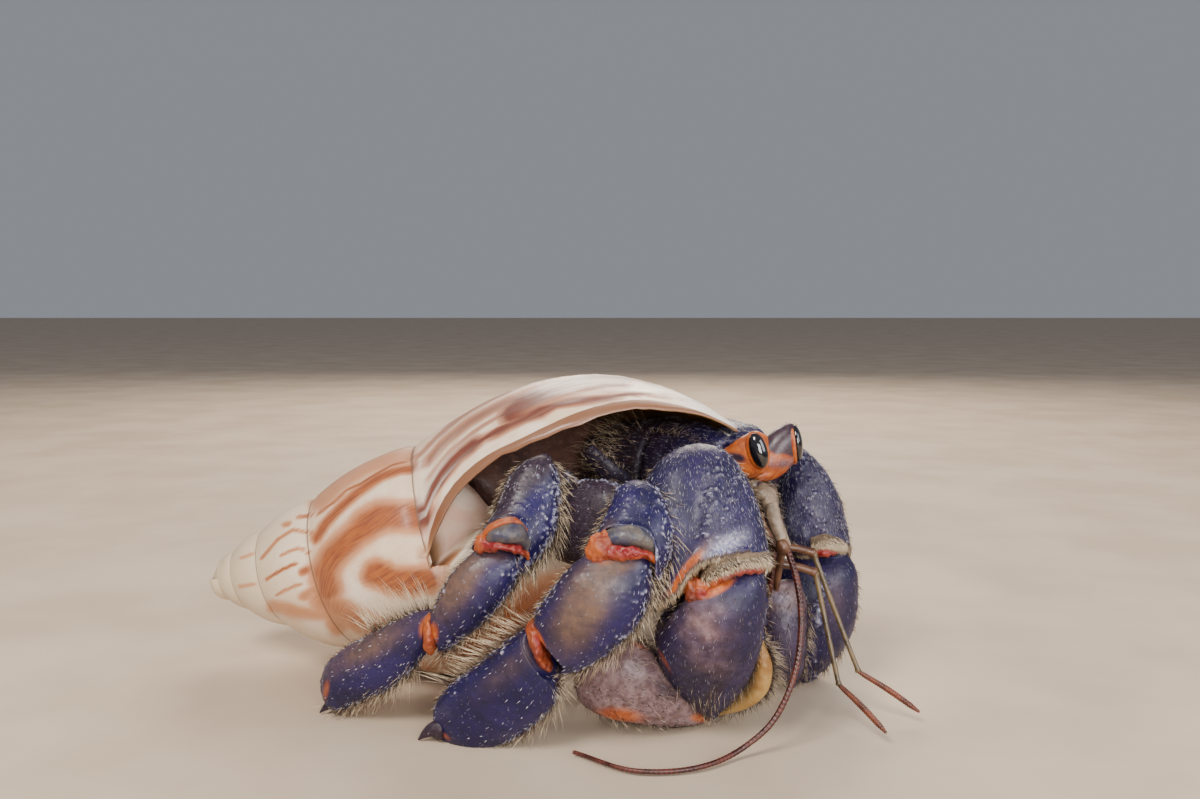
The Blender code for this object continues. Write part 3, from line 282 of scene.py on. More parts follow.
def grid_normals(grid):
    """Outward normals of a grid of points (rows along, columns round)."""
    around = np.roll(grid, -1, axis=1) - np.roll(grid, 1, axis=1)
    return unit(np.cross(around, np.gradient(grid, axis=0)))


# Shell surface, the same as in the part's source

AXIS = np.array([math.cos(SHELL_PITCH) * math.cos(SHELL_YAW),
                 -math.cos(SHELL_PITCH) * math.sin(SHELL_YAW), math.sin(SHELL_PITCH)])
SHELL_TOP = unit(UP - AXIS[2] * AXIS)
SHELL_NEAR = -np.cross(AXIS, SHELL_TOP) if np.cross(AXIS, SHELL_TOP)[1] > 0 else np.cross(AXIS, SHELL_TOP)


def spire_envelope(s):
    return SPIRE_SIZE * np.maximum(s, 1e-6) ** SPIRE_POWER


def suture(theta):
    return LAST_SUTURE * GROWTH ** (theta / TURN)


def body_ratio(v):
    return np.maximum(hermite_table(BODY_AT, BODY_RADIUS, np.clip(v, 0.0, 1.0)), 0.0)


def lip_angle(s):
    near_suture = math.radians(36.0) * np.exp(-np.maximum(s - 31.8, 0.0) / 4.2)
    towards_base = math.radians(12.0) * smoothstep((s - 44.0) / 18.0)
    return LIP_ANGLE - math.radians(36.0) + near_suture - towards_base


def shell_radius(theta, s):
    start = suture(theta)
    turns = np.log(np.maximum(s, 1e-6) / start) / math.log(GROWTH)
    fraction = turns - np.floor(turns)
    spire = spire_envelope(s) * (1 + WHORL_BULGE * np.sin(math.pi * fraction) ** 0.8)
    end = start * BODY_LENGTH
    body = spire_envelope(start) * body_ratio((s - start) / (end - start))
    bulge = 1 + WHORL_BULGE * np.sin(math.pi * np.clip(turns, 0, 1)) ** 0.8
    wall = spire_envelope(np.minimum(s, start * GROWTH)) * bulge
    next_ratio = body_ratio((GROWTH - 1) / (BODY_LENGTH - 1))
    below = body * spire_envelope(start * GROWTH) / (spire_envelope(start) * next_ratio)
    wall = np.where(s > start * GROWTH, below, wall)
    opened = smoothstep((theta - (LIP_ANGLE - TURN)) / TURN / 0.3)
    radius = np.where(turns < 0, spire, (1 - opened) * wall + opened * body)
    under = np.exp(-((np.mod(theta, TURN) - math.pi) / 0.85) ** 2) * np.clip((s - 15) / 20, 0, 1)
    return radius * (1 - UNDERSIDE_FLAT * under)


def inner_radius(theta, s):
    """Radius of the whorl before, which bounds the hollow on its inner side."""
    start = suture(theta) / GROWTH
    ratio = body_ratio((s - start) / (start * (BODY_LENGTH - 1)))
    return np.where(s < start * BODY_LENGTH, spire_envelope(start) * ratio, 0.0)


def shell_point(theta, s, radius):
    theta, s, radius = np.broadcast_arrays(theta, s, radius)
    return (SHELL_APEX + s[..., None] * AXIS + (radius * np.cos(theta))[..., None] * SHELL_TOP
            + (radius * np.sin(theta))[..., None] * SHELL_NEAR)


def shell_place(points):
    """Angle, distance along the axis and radius of points, with the angle unwound along the spiral."""
    p = points - SHELL_APEX
    s = p @ AXIS
    x, y = p @ SHELL_TOP, p @ SHELL_NEAR
    radius = np.hypot(x, y)
    angle = np.arctan2(y, x)
    turns = np.log(np.maximum(s, 1e-3) / suture(angle)) / math.log(GROWTH)
    theta = angle + TURN * np.floor(turns)
    theta = np.where(theta > lip_angle(s) + 0.12, theta - TURN, theta)
    return theta, s, radius


def growth_place(theta, s):
    """How far a place lies before the lip, in turns, along lines that follow the lip's shape."""
    scaled = s / suture(theta) * suture(LIP_ANGLE)
    return (theta - lip_angle(scaled)) / TURN


RESTS = (-0.018, -0.034, -0.085, -0.21, -0.47, -0.74)     # old lips, in turns before the last one


def growth_relief(theta, s):
    """Growth lines and old lips, in mm."""
    q = growth_place(theta, s)
    size = np.clip(s / 30.0, 0.15, 1.0)
    fine = noise1(q, 0.0028, 3) * 0.5 + noise1(q, 0.006, 5) * 0.6 + noise1(q, 0.014, 7) * 0.5
    uneven = 0.6 + 0.4 * noise3(np.stack([q * 30, s * 0.25, q * 0], -1), 1.0, 4)
    relief = 0.032 * fine * uneven * size
    wander = 0.0035 * noise1(s, 2.2, 9) + 0.0012 * noise1(s, 0.6, 10)
    for i, rest in enumerate(RESTS):
        step = smoothstep((q - rest - wander * (1 + 0.3 * i)) / 0.0035)
        relief = relief + (0.10 if i < 3 else 0.06) * (bump(q - rest - wander, 0.0, 0.006) - 0.9 * step * bump(
            q - rest, 0.0, 0.03)) * size
    turns = np.log(np.maximum(s, 1e-3) / suture(theta)) / math.log(GROWTH)
    return relief - 0.16 * size * bump(np.minimum(turns, 1.0), 0.0, 0.035)


def zip_faces(first, second, places):
    """Triangles between two chains of points, in the order of their places along the axis."""
    faces = []
    i = j = 0
    while i < len(first) - 1 or j < len(second) - 1:
        take_first = j == len(second) - 1 or (
            i < len(first) - 1 and places[first[i + 1]] < places[second[j + 1]])
        if take_first:
            face = (first[i], first[i + 1], second[j])
            i += 1
        else:
            face = (first[i], second[j + 1], second[j])
            j += 1
        if len(set(face)) == 3:
            faces.append(face)
    return faces


def shell_solid(around, rows, body_rows):
    """Points, quads and triangles of the filled shell: whorls, last turn and the face across the aperture."""
    columns = int(WHORLS * around)
    spire_cols = columns - around
    theta0 = LIP_ANGLE - TURN * WHORLS
    column = np.arange(spire_cols + 1)[:, None]
    theta = theta0 + TURN * column / around + np.zeros((1, rows + 1))
    s = suture(theta) * GROWTH ** (np.arange(rows + 1)[None, :] / rows)
    spire = shell_point(theta, s, shell_radius(theta, s) + growth_relief(theta, s))
    join = (GROWTH - 1) / (BODY_LENGTH - 1)
    steps = np.array([(GROWTH ** (row / rows) - 1) / (BODY_LENGTH - 1) for row in range(rows)]
                     + [join + (1 - join) * math.sin(math.pi / 2 * i / body_rows) for i in range(body_rows + 1)])
    base = (LIP_ANGLE - TURN + TURN * np.arange(around + 1)[:, None] / around) + np.zeros((1, len(steps)))
    t2 = base.copy()
    for _ in range(4):
        s2 = suture(t2) * (1 + steps[None, :] * (BODY_LENGTH - 1))
        t2 = base + lip_angle(s2) - LIP_ANGLE
    t2[0, :rows + 1] = base[0, :rows + 1]
    edge = smoothstep((base - LIP_ANGLE + 0.10) / 0.10)
    ragged = 0.022 * noise1(s2, 3.1, 21) + 0.014 * noise1(s2, 1.1, 22) + 0.007 * noise1(s2, 0.45, 23)
    t2 = t2 + edge * np.minimum(ragged, 0.02) * smoothstep((s2 - 32.0) / 4.0) * smoothstep((64.0 - s2) / 4.0)
    s2 = suture(np.where(edge > 0, base + lip_angle(s2) - LIP_ANGLE, t2)) * (1 + steps[None, :] * (BODY_LENGTH - 1))
    r2 = shell_radius(t2, s2)
    r2 = np.where(steps[None, :] < 0.999, np.maximum(r2 + growth_relief(t2, s2) * np.clip(r2 / 3, 0, 1), 0.0), 0.0)
    thin = smoothstep((base - LIP_ANGLE + 0.06) / 0.06)
    body = shell_point(t2, s2, r2 * (1 - 0.012 * thin))
    points = np.concatenate([spire.reshape(-1, 3), body.reshape(-1, 3)])
    places = np.concatenate([s.ravel(), s2.ravel()])
    shift = spire.shape[0] * spire.shape[1]
    width, wide = rows + 1, len(steps)
    # one index for each place that two strips share
    same = np.arange(len(points))
    for c in range(spire_cols + 1):
        target = c + around
        low = c * width + rows
        same[low] = target * width if target <= spire_cols else shift + (target - spire_cols) * wide
    for r in range(rows + 1):
        same[spire_cols * width + r] = shift + r
    same[shift + around * wide] = shift + rows
    for _ in range(4):
        same = same[same]
    faces = grid_faces(spire_cols + 1, width, 0, False)
    body_faces = grid_faces(around + 1, wide, shift, False)
    tip = len(points)
    points = np.concatenate([points, [SHELL_APEX - 0.1 * AXIS]])
    places = np.append(places, 0.0)
    same = np.append(same, tip)
    ring = [c * width for c in range(around + 1)] + [r for r in range(rows - 1, -1, -1)]
    tris = [(a, b, tip) for a, b in zip(ring, ring[1:])]
    outer = [shift + around * wide + i for i in range(wide)]
    inner = [shift + i for i in range(rows, wide)] + [shift + c * wide + wide - 1 for c in range(1, around + 1)]
    outer = [int(same[i]) for i in outer]
    inner = [int(same[i]) for i in inner]
    tris += zip_faces(outer, inner, places)
    quads = same[np.concatenate([faces, body_faces])]
    tris = same[np.array(tris)]
    return points, quads, tris


def cavity_section(offset, wall, count_out, count_in):
    """Closed outline of the last turn's hollow at an angle measured from the lip."""
    v = np.linspace(0.0, 1.0, 700)
    lip_s = suture(LIP_ANGLE) * (1 + v * (BODY_LENGTH - 1))
    before = min(offset, 0.0)
    theta = lip_angle(lip_s) + before
    for _ in range(4):
        s = suture(theta) * (1 + v * (BODY_LENGTH - 1))
        theta = lip_angle(s) + before
    radius = shell_radius(theta, s)
    tangent = np.stack([np.gradient(s), np.gradient(radius)], 1)
    tangent /= np.linalg.norm(tangent, axis=1)[:, None] + 1e-12
    inset_s = s + tangent[:, 1] * wall
    inset_r = radius - tangent[:, 0] * wall
    floor = np.maximum(inner_radius(lip_angle(inset_s) + before, inset_s), COLUMELLA) + GAP
    inside = np.flatnonzero(inset_r > floor + 0.12)
    first, last = inside[0], inside[-1]
    path = np.stack([inset_s[first:last + 1], inset_r[first:last + 1]], 1)
    lengths = run_lengths(path)
    at = np.linspace(0, lengths[-1], count_out)
    outer = np.stack([np.interp(at, lengths, path[:, 0]), np.interp(at, lengths, path[:, 1])], 1)
    back_s = np.linspace(outer[-1, 0], outer[0, 0], count_in + 2)[1:-1]
    back_r = np.maximum(inner_radius(lip_angle(back_s) + before, back_s), COLUMELLA) + GAP
    outline = np.concatenate([outer, np.stack([back_s, back_r], 1)])
    return outline, lip_angle(outline[:, 0]) + offset


def lip_wall(offset):
    """The shell's wall, thinner towards the lip."""
    return LIP_WALL + (WALL - LIP_WALL) * smoothstep(-offset / 0.55)


def cavity_points(sections, count_out, count_in):
    rings = []
    for i in range(sections):
        offset = LIP_REACH - (LIP_REACH + CAVITY_TURN) * i / (sections - 1)
        outline, angle = cavity_section(offset, lip_wall(offset), count_out, count_in)
        if i == sections - 1:
            outline = outline.mean(axis=0) + (outline - outline.mean(axis=0)) * 0.8
        rings.append(shell_point(angle, outline[:, 0], outline[:, 1]))
    grid = np.array(rings)
    size = grid.shape[1]
    points = np.concatenate([grid.reshape(-1, 3), [grid[0].mean(axis=0), grid[-1].mean(axis=0)]])
    return points, grid_faces(sections, size), end_fans(sections, size)


def cut_away(obj, name, points, *faces):
    """Takes a closed body of points and faces away from an object."""
    cutter = fix_normals(new_mesh(name, points, faces, None))
    modifier = obj.modifiers.new("cut", "BOOLEAN")
    modifier.operation = "DIFFERENCE"
    modifier.solver = "MANIFOLD"
    modifier.object = cutter
    graph = bpy.context.evaluated_depsgraph_get()
    mesh = bpy.data.meshes.new_from_object(obj.evaluated_get(graph))
    obj.modifiers.clear()
    obj.data = mesh
    drop(cutter)


def blunt_apex(points):
    axial = ((points - SHELL_APEX) @ AXIS)[:, None]
    widen = np.clip(axial / APEX_LENGTH, 0.03, 1.0) ** -0.38
    points = SHELL_APEX + axial * AXIS + (points - SHELL_APEX - axial * AXIS) * widen
    near = APEX_CAP - axial[:, 0]
    return points + AXIS * (np.maximum(near, 0) ** 2 / (2 * APEX_CAP) * 0.85)[:, None]


def fix_normals(obj):
    bm = bmesh.new()
    bm.from_mesh(obj.data)
    bmesh.ops.remove_doubles(bm, verts=bm.verts, dist=0.0000015)
    bmesh.ops.dissolve_degenerate(bm, edges=bm.edges, dist=0.0000008)
    bmesh.ops.triangulate(bm, faces=bm.faces)
    bmesh.ops.recalc_face_normals(bm, faces=bm.faces)
    bm.to_mesh(obj.data)
    bm.free()
    return obj


def drop(obj):
    bpy.data.objects.remove(obj, do_unlink=True)


def mesh_arrays(mesh):
    points = np.empty(len(mesh.vertices) * 3, np.float32)
    mesh.vertices.foreach_get("co", points)
    points = points.reshape(-1, 3).astype(float) / MM
    points[:, 0] -= PLACE[0]
    points[:, 1] -= PLACE[1]
    mesh.calc_loop_triangles()
    tris = np.empty(len(mesh.loop_triangles) * 3, np.int32)
    mesh.loop_triangles.foreach_get("vertices", tris)
    return points, tris.reshape(-1, 3)


def largest_part(points, tris):
    """Keeps the largest connected surface of a triangle mesh."""
    label = np.arange(len(points))
    for _ in range(400):
        low = label[tris].min(axis=1)
        new = label.copy()
        np.minimum.at(new, tris.ravel(), np.repeat(low, 3))
        new = new[new]
        if np.array_equal(new, label):
            break
        label = new
    names, counts = np.unique(label[tris[:, 0]], return_counts=True)
    keep = label[tris[:, 0]] == names[counts.argmax()]
    tris = tris[keep]
    used, inverse = np.unique(tris, return_inverse=True)
    return points[used], inverse.reshape(-1, 3)


def axis_rod(start, end, radius, count):
    angles = np.arange(count) * TURN / count
    rings = [shell_point(angles, np.full(count, s), np.full(count, radius)) for s in (start, end)]
    points = np.concatenate(rings + [[SHELL_APEX + AXIS * start], [SHELL_APEX + AXIS * end]])
    return points, grid_faces(2, count), end_fans(2, count)


def mouth_block():
    """A block in front of the mouth that takes away what lies past its plane."""
    normal = unit((1.0, MOUTH_LEAN, -MOUTH_RAKE))
    side = unit(np.cross(normal, UP))
    rise = np.cross(side, normal)
    corners = [MOUTH_POINT + (normal * d + side * a + rise * b) * MOUTH_BLOCK
               for d in (0, 1) for a, b in ((-1, -1), (1, -1), (1, 1), (-1, 1))]
    quads = [(0, 1, 2, 3), (7, 6, 5, 4), (0, 4, 5, 1), (1, 5, 6, 2), (2, 6, 7, 3), (3, 7, 4, 0)]
    return np.array(corners), quads


def build_shell(mat):
    points, *faces = shell_solid(*SHELL_GRID)
    solid = fix_normals(new_mesh("shell_work", points, faces, None))
    cut_away(solid, "hollow", *cavity_points(*HOLLOW_GRID))
    cut_away(solid, "throat", *axis_rod(THROAT_FROM, THROAT_TO, THROAT_RADIUS, 64))
    cut_away(solid, "mouth", *mouth_block())
    points, tris = largest_part(*mesh_arrays(solid.data))
    drop(solid)
    points[:, 2] = np.maximum(points[:, 2], 0.0)
    corners = points[tris]
    middle_theta = shell_place(corners.mean(axis=1))[0][:, None]
    theta, s, radius = (values.reshape(-1, 3) for values in shell_place(corners.reshape(-1, 3)))
    theta = middle_theta + turn_gap(theta, middle_theta)
    grow = growth_place(theta, s)
    across = np.log(np.maximum(s, 1e-3) / suture(theta)) / math.log(GROWTH)
    outer = shell_radius(theta, s)
    inside = smoothstep((outer - radius - 0.16 - 0.006 * outer) / 0.16)
    flat = unit(np.cross(corners[:, 1] - corners[:, 0], corners[:, 2] - corners[:, 0]))
    normals = np.zeros_like(points)
    for k in range(3):
        np.add.at(normals, tris[:, k], flat)
    normals = unit(normals)[tris]
    radial = corners - SHELL_APEX
    radial = unit(radial - (radial @ AXIS)[..., None] * AXIS)
    cut = smoothstep((np.abs(normals @ AXIS) - 0.35) / 0.3) * smoothstep((grow + 0.12) / 0.04)
    cut = cut * smoothstep((1.1 - (outer - radius)) / 0.2)
    inside = inside * (1 - cut)
    edge = cut * smoothstep(((outer - radius) / LIP_WALL - 0.66 + 0.3 * noise3(corners, 0.9, 38)) / 0.15)
    parietal = inside * smoothstep((normals * radial).sum(-1) / 0.5 + 0.3)
    rust_and_shade = shell_rust_and_shade(corners, normals, grow, across)
    obj = new_mesh("shell_fine", blunt_apex(points), [tris], mat,
                   corner_data={"cut": cut, "grow": grow, "across": across, "inside": inside, "rust_and_shade": rust_and_shade,
                                "parietal": parietal, "edge": edge, "along": s / SHELL_LENGTH})
    return settle(obj, "shell", "shell")


# Markings on the near side and painted shade: half width, strength and course in the photograph's pixels
MARKINGS_AND_SHADE = (
    # the first is painted shade on the shell's base between the legs; the rest are the shell's own markings
    (24.0, 0.75, ((470, 640), (530, 610), (590, 600), (640, 620))),
    (2.2, 0.95, ((429, 503), (440, 486), (453, 466), (470, 449), (487, 436), (503, 425), (518, 414),
               (535, 409), (557, 405), (578, 401), (600, 398), (622, 393), (644, 395), (665, 397),
               (709, 401), (730, 412))),
    (5.0, 0.95, ((432, 489), (442, 475), (457, 457), (477, 442))),
    (3.6, 0.75, ((487, 438), (507, 427), (526, 418), (548, 413))),
    (3.6, 0.8, ((526, 413), (552, 405), (578, 401), (609, 398))),
    (7.5, 0.9, ((507, 416), (524, 402), (544, 392), (565, 385), (591, 380), (622, 379))),
    (4.0, 0.55, ((425, 464), (444, 442), (468, 423), (492, 409), (518, 397))),
    (3.0, 0.45, ((420, 455), (440, 434), (466, 413), (492, 398), (526, 384))),
    (2.5, 0.45, ((427, 479), (448, 453), (477, 429), (500, 416))),
    (2.6, 0.5, ((557, 375), (589, 372), (622, 375), (654, 383))),
    (2.4, 0.55, ((635, 395), (661, 394), (691, 398), (715, 406))),
    (4.0, 0.8, ((316, 539), (326, 523), (341, 507), (358, 492), (379, 477), (399, 470), (413, 469))),
    (9.0, 0.35, ((319, 503), (341, 481), (366, 466), (406, 456))),
    (1.3, 0.8, ((319, 513), (333, 503), (346, 491), (366, 480), (391, 465), (411, 460))),
    (12.0, 0.95, ((366, 525), (379, 517), (399, 515), (421, 517))),
    (11.0, 0.85, ((362, 528), (346, 543), (333, 556), (324, 573), (328, 589))),
    (10.5, 1.0, ((376, 573), (391, 579), (407, 583), (427, 580))),
    (10.0, 0.55, ((321, 599), (341, 611), (358, 620), (379, 626))),
    (8.0, 0.45, ((316, 581), (329, 606), (338, 626))),
    (9.0, 0.3, ((429, 554), (439, 566), (444, 581))),
    (1.7, 0.85, ((266, 580), (280, 571), (296, 563))),
    (2.0, 0.55, ((261, 559), (278, 539), (293, 530), (311, 533))),
    (2.0, 0.5, ((280, 556), (299, 548), (310, 554))),
    (2.2, 0.6, ((299, 517), (312, 515))),
    (3.0, 0.55, ((284, 525), (288, 524))),
    (3.2, 0.8, ((303, 572), (308, 569))),
    (1.8, 0.5, ((278, 594), (290, 588), (301, 584))),
    (4.0, 0.5, ((304, 596), (316, 589))),
    (6.0, 0.35, ((273, 606), (299, 613), (323, 614))),
    (2.5, 0.3, ((241, 558), (253, 554))),
    (3.0, 0.3, ((240, 586), (255, 584))),
)


def near_line(places, course):
    """Distance in pixels from places to a broken line."""
    course = np.asarray(course, float)
    best = np.full(places.shape[:-1], 1e9)
    for a, b in zip(course, course[1:]):
        step = b - a
        t = np.clip(((places - a) @ step) / max(step @ step, 1e-9), 0, 1)
        best = np.minimum(best, np.linalg.norm(places - a - t[..., None] * step, axis=-1))
    return best


# Stripes on the last turn: place before the lip in turns, half width, strength
STRIPES = ((-0.018, 0.0025, 0.9), (-0.030, 0.006, 0.75), (-0.052, 0.004, 0.4), (-0.078, 0.010, 0.9),
           (-0.105, 0.006, 0.4), (-0.128, 0.012, 0.8), (-0.165, 0.008, 0.5), (-0.205, 0.015, 1.0),
           (-0.26, 0.012, 0.7), (-0.32, 0.02, 1.0), (-0.39, 0.014, 1.0), (-0.46, 0.02, 1.0), (-0.54, 0.02, 0.8),
           (-0.61, 0.015, 0.8), (-0.68, 0.02, 1.0))


def shell_rust_and_shade(points, normals, grow, across):
    """Strength of the reddish-brown markings: stripes on the last turn, blotches and thin streaks before it; on the
    near side also painted shade on the base between the legs.
    """
    zero = np.zeros_like(grow)
    place = np.stack([grow * 40.0, across * 3.0, zero], -1)
    wobble = noise3(place, 1.0, 31) * 0.006 + noise3(place * 3.0, 1.0, 32) * 0.002
    q = grow + wobble
    stripes = sum(strength * bump(q, place, width) for place, width, strength in STRIPES)
    last = smoothstep((q + 0.78) / 0.12)
    cells = noise3(np.stack([grow * 9.0, across * 2.6 + 4.0, zero], -1), 1.0, 35)
    flames = noise3(np.stack([grow * 16.0 + across * 1.2, across * 1.1, zero], -1), 1.0, 36)
    blotch = smoothstep((cells * 0.55 + flames * 0.75 - 0.02) / 0.42)
    middle = smoothstep((q + 1.85) / 0.25) * (1 - last)
    streaks = smoothstep((noise3(np.stack([grow * 95.0, across * 1.6, zero], -1), 1.0, 37) - 0.25) / 0.45)
    early = (1 - last) * (1 - middle)
    fade = smoothstep((q + 4.4) / 1.5)
    far = np.clip(stripes * last + blotch * middle + streaks * 0.55 * early * fade, 0, 1)
    view = unit(EYE_POINT - points)
    seen = smoothstep(((normals * view).sum(-1) - 0.02) / 0.08)
    places = pixel(points)
    ragged = 1.2 * noise3(points, 1.6, 38) + 0.8 * noise3(points, 0.7, 39)
    places = places + np.stack([ragged, -ragged], -1)
    near = zero
    for width, strength, course in MARKINGS_AND_SHADE:
        reach = width * (1.3 if width > 3 else 0.85)
        near = np.maximum(near, strength * np.exp(-(near_line(places, course) / reach) ** 2.4))
    seen = seen * smoothstep((660 - places[..., 1]) / 25)
    return near * seen + far * (1 - seen)


# Materials

class Graph:
    """A material and short calls for its nodes."""

    def __init__(self, name):
        self.mat = bpy.data.materials.new(name)
        self.mat.use_nodes = True
        self.tree = self.mat.node_tree
        self.bsdf = self.tree.nodes["Principled BSDF"]

    def fill(self, node, values, output=0):
        """Sets or links a node's sockets, by number or by name, and gives one of its outputs."""
        for key, value in values.items() if isinstance(values, dict) else enumerate(values):
            if isinstance(value, bpy.types.NodeSocket):
                self.tree.links.new(value, node.inputs[key])
            else:
                node.inputs[key].default_value = value
        return node.outputs[output]

    def node(self, kind, **settings):
        made = self.tree.nodes.new("ShaderNode" + kind)
        for key, value in settings.items():
            setattr(made, key, value)
        return made

    def value(self, name, output="Fac"):
        return self.node("Attribute", attribute_name=name).outputs[output]

    def mask(self):
        """The four channels of the attribute 'mask'."""
        parts = self.node("SeparateColor")
        self.fill(parts, [self.value("mask", "Color")])
        return [*parts.outputs, self.value("mask", "Alpha")]

    def place(self):
        return self.node("TexCoord").outputs["Object"]

    def noise(self, vector, scale, detail=3.0, rough=0.55):
        return self.fill(self.node("TexNoise"),
                         {"Vector": vector, "Scale": scale, "Detail": detail, "Roughness": rough}, "Fac")

    def dots(self, vector, scale, randomness):
        return self.fill(self.node("TexVoronoi", feature="F1"),
                         {"Vector": vector, "Scale": scale, "Randomness": randomness}, "Distance")

    def math(self, operation, *values):
        return self.fill(self.node("Math", operation=operation), values)

    def times(self, a, b):
        return self.math("MULTIPLY", a, b)

    def fit(self, value, low, high, to_low=0.0, to_high=1.0):
        return self.fill(self.node("MapRange", interpolation_type="SMOOTHSTEP"), (value, low, high, to_low, to_high))

    def mix(self, factor, a, b):
        a, b = ((*c, 1) if isinstance(c, tuple) else c for c in (a, b))
        return self.fill(self.node("Mix", data_type="RGBA"), {0: factor, 6: a, 7: b}, 2)

    def stretched(self, x, y):
        return self.fill(self.node("CombineXYZ"), (x, y, 0.0))

    def finish(self, colour, rough, height=None, distance=0.0, strength=1.0, **more):
        """The material with its colour, roughness and relief (distance in mm), and plain values by name."""
        values = {"Base Color": colour, "Roughness": rough}
        if height is not None:
            values["Normal"] = self.fill(self.node("Bump"), {"Height": height, "Distance": distance * MM,
                                                             "Strength": strength}, "Normal")
        values.update((key.replace("_", " "), value) for key, value in more.items())
        self.fill(self.bsdf, values)
        return self.mat


def shell_material():
    g = Graph("snail_shell")
    grow, across, inside, rust_and_shade, along, parietal, cut, edge = (
        g.value(name) for name in ("grow", "across", "inside", "rust_and_shade", "along", "parietal", "cut", "edge"))
    line_noise = g.noise(g.stretched(g.times(grow, 260.0), g.times(across, 5.0)), 1.0, 4.0, 0.6)
    fine_lines = g.noise(g.stretched(g.times(grow, 900.0), g.times(across, 9.0)), 1.0)
    soft = g.noise(g.place(), 260.0)
    grain = g.noise(g.place(), 2400.0, 2.0)
    cream = g.mix(g.fit(soft, 0.35, 0.65), (0.76, 0.57, 0.39), (0.85, 0.70, 0.55))
    cream = g.mix(g.fit(along, 0.06, 0.40), (0.62, 0.50, 0.34), cream)
    blush = g.times(g.fit(line_noise, 0.45, 0.75), g.fit(grow, -1.3, -0.9, 0.15, 0.34))
    cream = g.mix(blush, cream, (0.70, 0.40, 0.26))
    amber = g.mix(g.fit(line_noise, 0.35, 0.7), (0.36, 0.100, 0.024), (0.19, 0.045, 0.018))
    mauve = g.mix(g.fit(fine_lines, 0.3, 0.7), (0.20, 0.052, 0.026), (0.085, 0.024, 0.020))
    last_turn = g.fit(grow, -0.75, -0.6)
    marking_and_shade = g.mix(last_turn, amber, mauve)
    soft_mark_and_shade = g.mix(0.80, cream, g.mix(last_turn, (0.50, 0.165, 0.045), (0.40, 0.135, 0.060)))
    # these tones also colour the painted shade on the shell's base
    broken = g.times(rust_and_shade, g.fit(line_noise, 0.18, 0.42, 0.75, 1.0))
    colour = g.mix(g.fit(broken, 0.0, 0.34), cream, soft_mark_and_shade)
    colour = g.mix(g.fit(broken, 0.22, 0.80), colour, marking_and_shade)
    colour = g.mix(g.times(g.fit(fine_lines, 0.50, 0.75), 0.22), colour, (0.42, 0.22, 0.13))
    # a dark line along the sutures, away from the apex: painted shade in their groove
    seam = g.math("MAXIMUM", g.fit(across, 0.020, 0.004), g.fit(across, 0.985, 0.999))
    seam = g.times(seam, g.fit(across, 1.06, 1.01))
    seam = g.times(seam, g.math("MAXIMUM", g.fit(grow, -1.0, -1.02), g.fit(across, 0.05, 0.03)))
    seam = g.times(seam, g.fit(along, 0.03, 0.08))
    colour = g.mix(g.times(seam, 0.85), colour, (0.15, 0.070, 0.04))
    colour = g.mix(g.times(cut, 0.85), colour, (0.96, 0.87, 0.76))
    brown = g.math("MULTIPLY_ADD", line_noise, 0.5, g.math("MAXIMUM", g.fit(grow, -0.0055, -0.0012), edge))
    colour = g.mix(g.times(g.fit(brown, 0.45, 0.9), 0.95), colour, (0.17, 0.058, 0.020))
    golden = g.mix(g.fit(soft, 0.35, 0.65), (0.52, 0.30, 0.105), (0.36, 0.19, 0.07))
    # darker further into the hollow: painted shade
    deep = g.mix(g.fit(grow, -0.20, -0.04), (0.11, 0.052, 0.026), golden)
    pink = g.mix(g.fit(soft, 0.35, 0.65), (0.80, 0.50, 0.36), (0.90, 0.70, 0.57))
    # the parietal wall darker further back inside: painted shade
    pink = g.mix(g.fit(grow, -1.22, -1.04), (0.30, 0.15, 0.09), pink)
    deep = g.mix(g.fit(parietal, 0.2, 0.8), deep, pink)
    height = g.math("ADD", g.times(fine_lines, 0.6), g.times(grain, 0.25))
    return g.finish(g.mix(inside, colour, deep), g.fit(line_noise, 0.3, 0.75, 0.28, 0.5), height, 0.05, 0.8,
                    Coat_Weight=0.25, Coat_Roughness=0.25)


def cuticle_material(name, deep, light, tan_tones, speck, rough, relief=1.0):
    """Hard skin. The mask's channels are tan patch, orange joint, pale rim that also carries painted highlights, and
    dark that also carries painted shade.
    """
    g = Graph(name)
    tan, orange, pale, dark = g.mask()
    place = g.place()
    wide = g.noise(place, 230.0)
    mottle = g.noise(place, 1100.0, 4.0, 0.65)
    fine = g.noise(place, 4200.0, 3.0, 0.6)
    colour = g.mix(g.fit(wide, 0.35, 0.65), deep, light)
    colour = g.mix(g.times(g.fit(mottle, 0.45, 0.7), 0.5), colour, tuple(c * 0.4 for c in deep))
    colour = g.mix(g.fit(tan, 0.05, 1.0, 0.0, 0.9), colour, g.mix(g.fit(mottle, 0.35, 0.65), *tan_tones))
    shade = g.mix(g.fit(fine, 0.42, 0.62), (0.013, 0.007, 0.015), (0.038, 0.020, 0.032))
    colour = g.mix(g.fit(dark, 0.05, 0.95), colour, shade)
    warm = g.mix(g.fit(mottle, 0.38, 0.62), (0.46, 0.115, 0.020), (0.30, 0.058, 0.014))
    colour = g.mix(g.fit(g.math("MULTIPLY_ADD", mottle, 0.35, orange), 0.45, 0.95), colour, warm)
    # pale tone of rims and tubercles, also used for painted highlights
    rim = g.mix(g.fit(fine, 0.35, 0.65), (0.16, 0.16, 0.29), (0.40, 0.38, 0.44))
    colour = g.mix(g.fit(g.math("MULTIPLY_ADD", fine, 0.35, pale), 0.28, 1.2), colour, rim)
    spot = g.times(g.fit(g.dots(place, 1500.0, 1.0), 0.15, 0.06), g.fit(wide, 0.3, 0.6, 0.3, 1.0))
    spot = g.times(spot, 0.5 * speck)
    height = g.math("ADD", g.times(mottle, 0.35), g.times(fine, 0.22))
    height = g.math("ADD", height, g.times(spot, 0.8))
    return g.finish(g.mix(spot, colour, (0.30, 0.27, 0.36)), g.fit(mottle, 0.3, 0.7, *rough), height,
                    0.06 * relief, 0.8, Specular_IOR_Level=0.42)


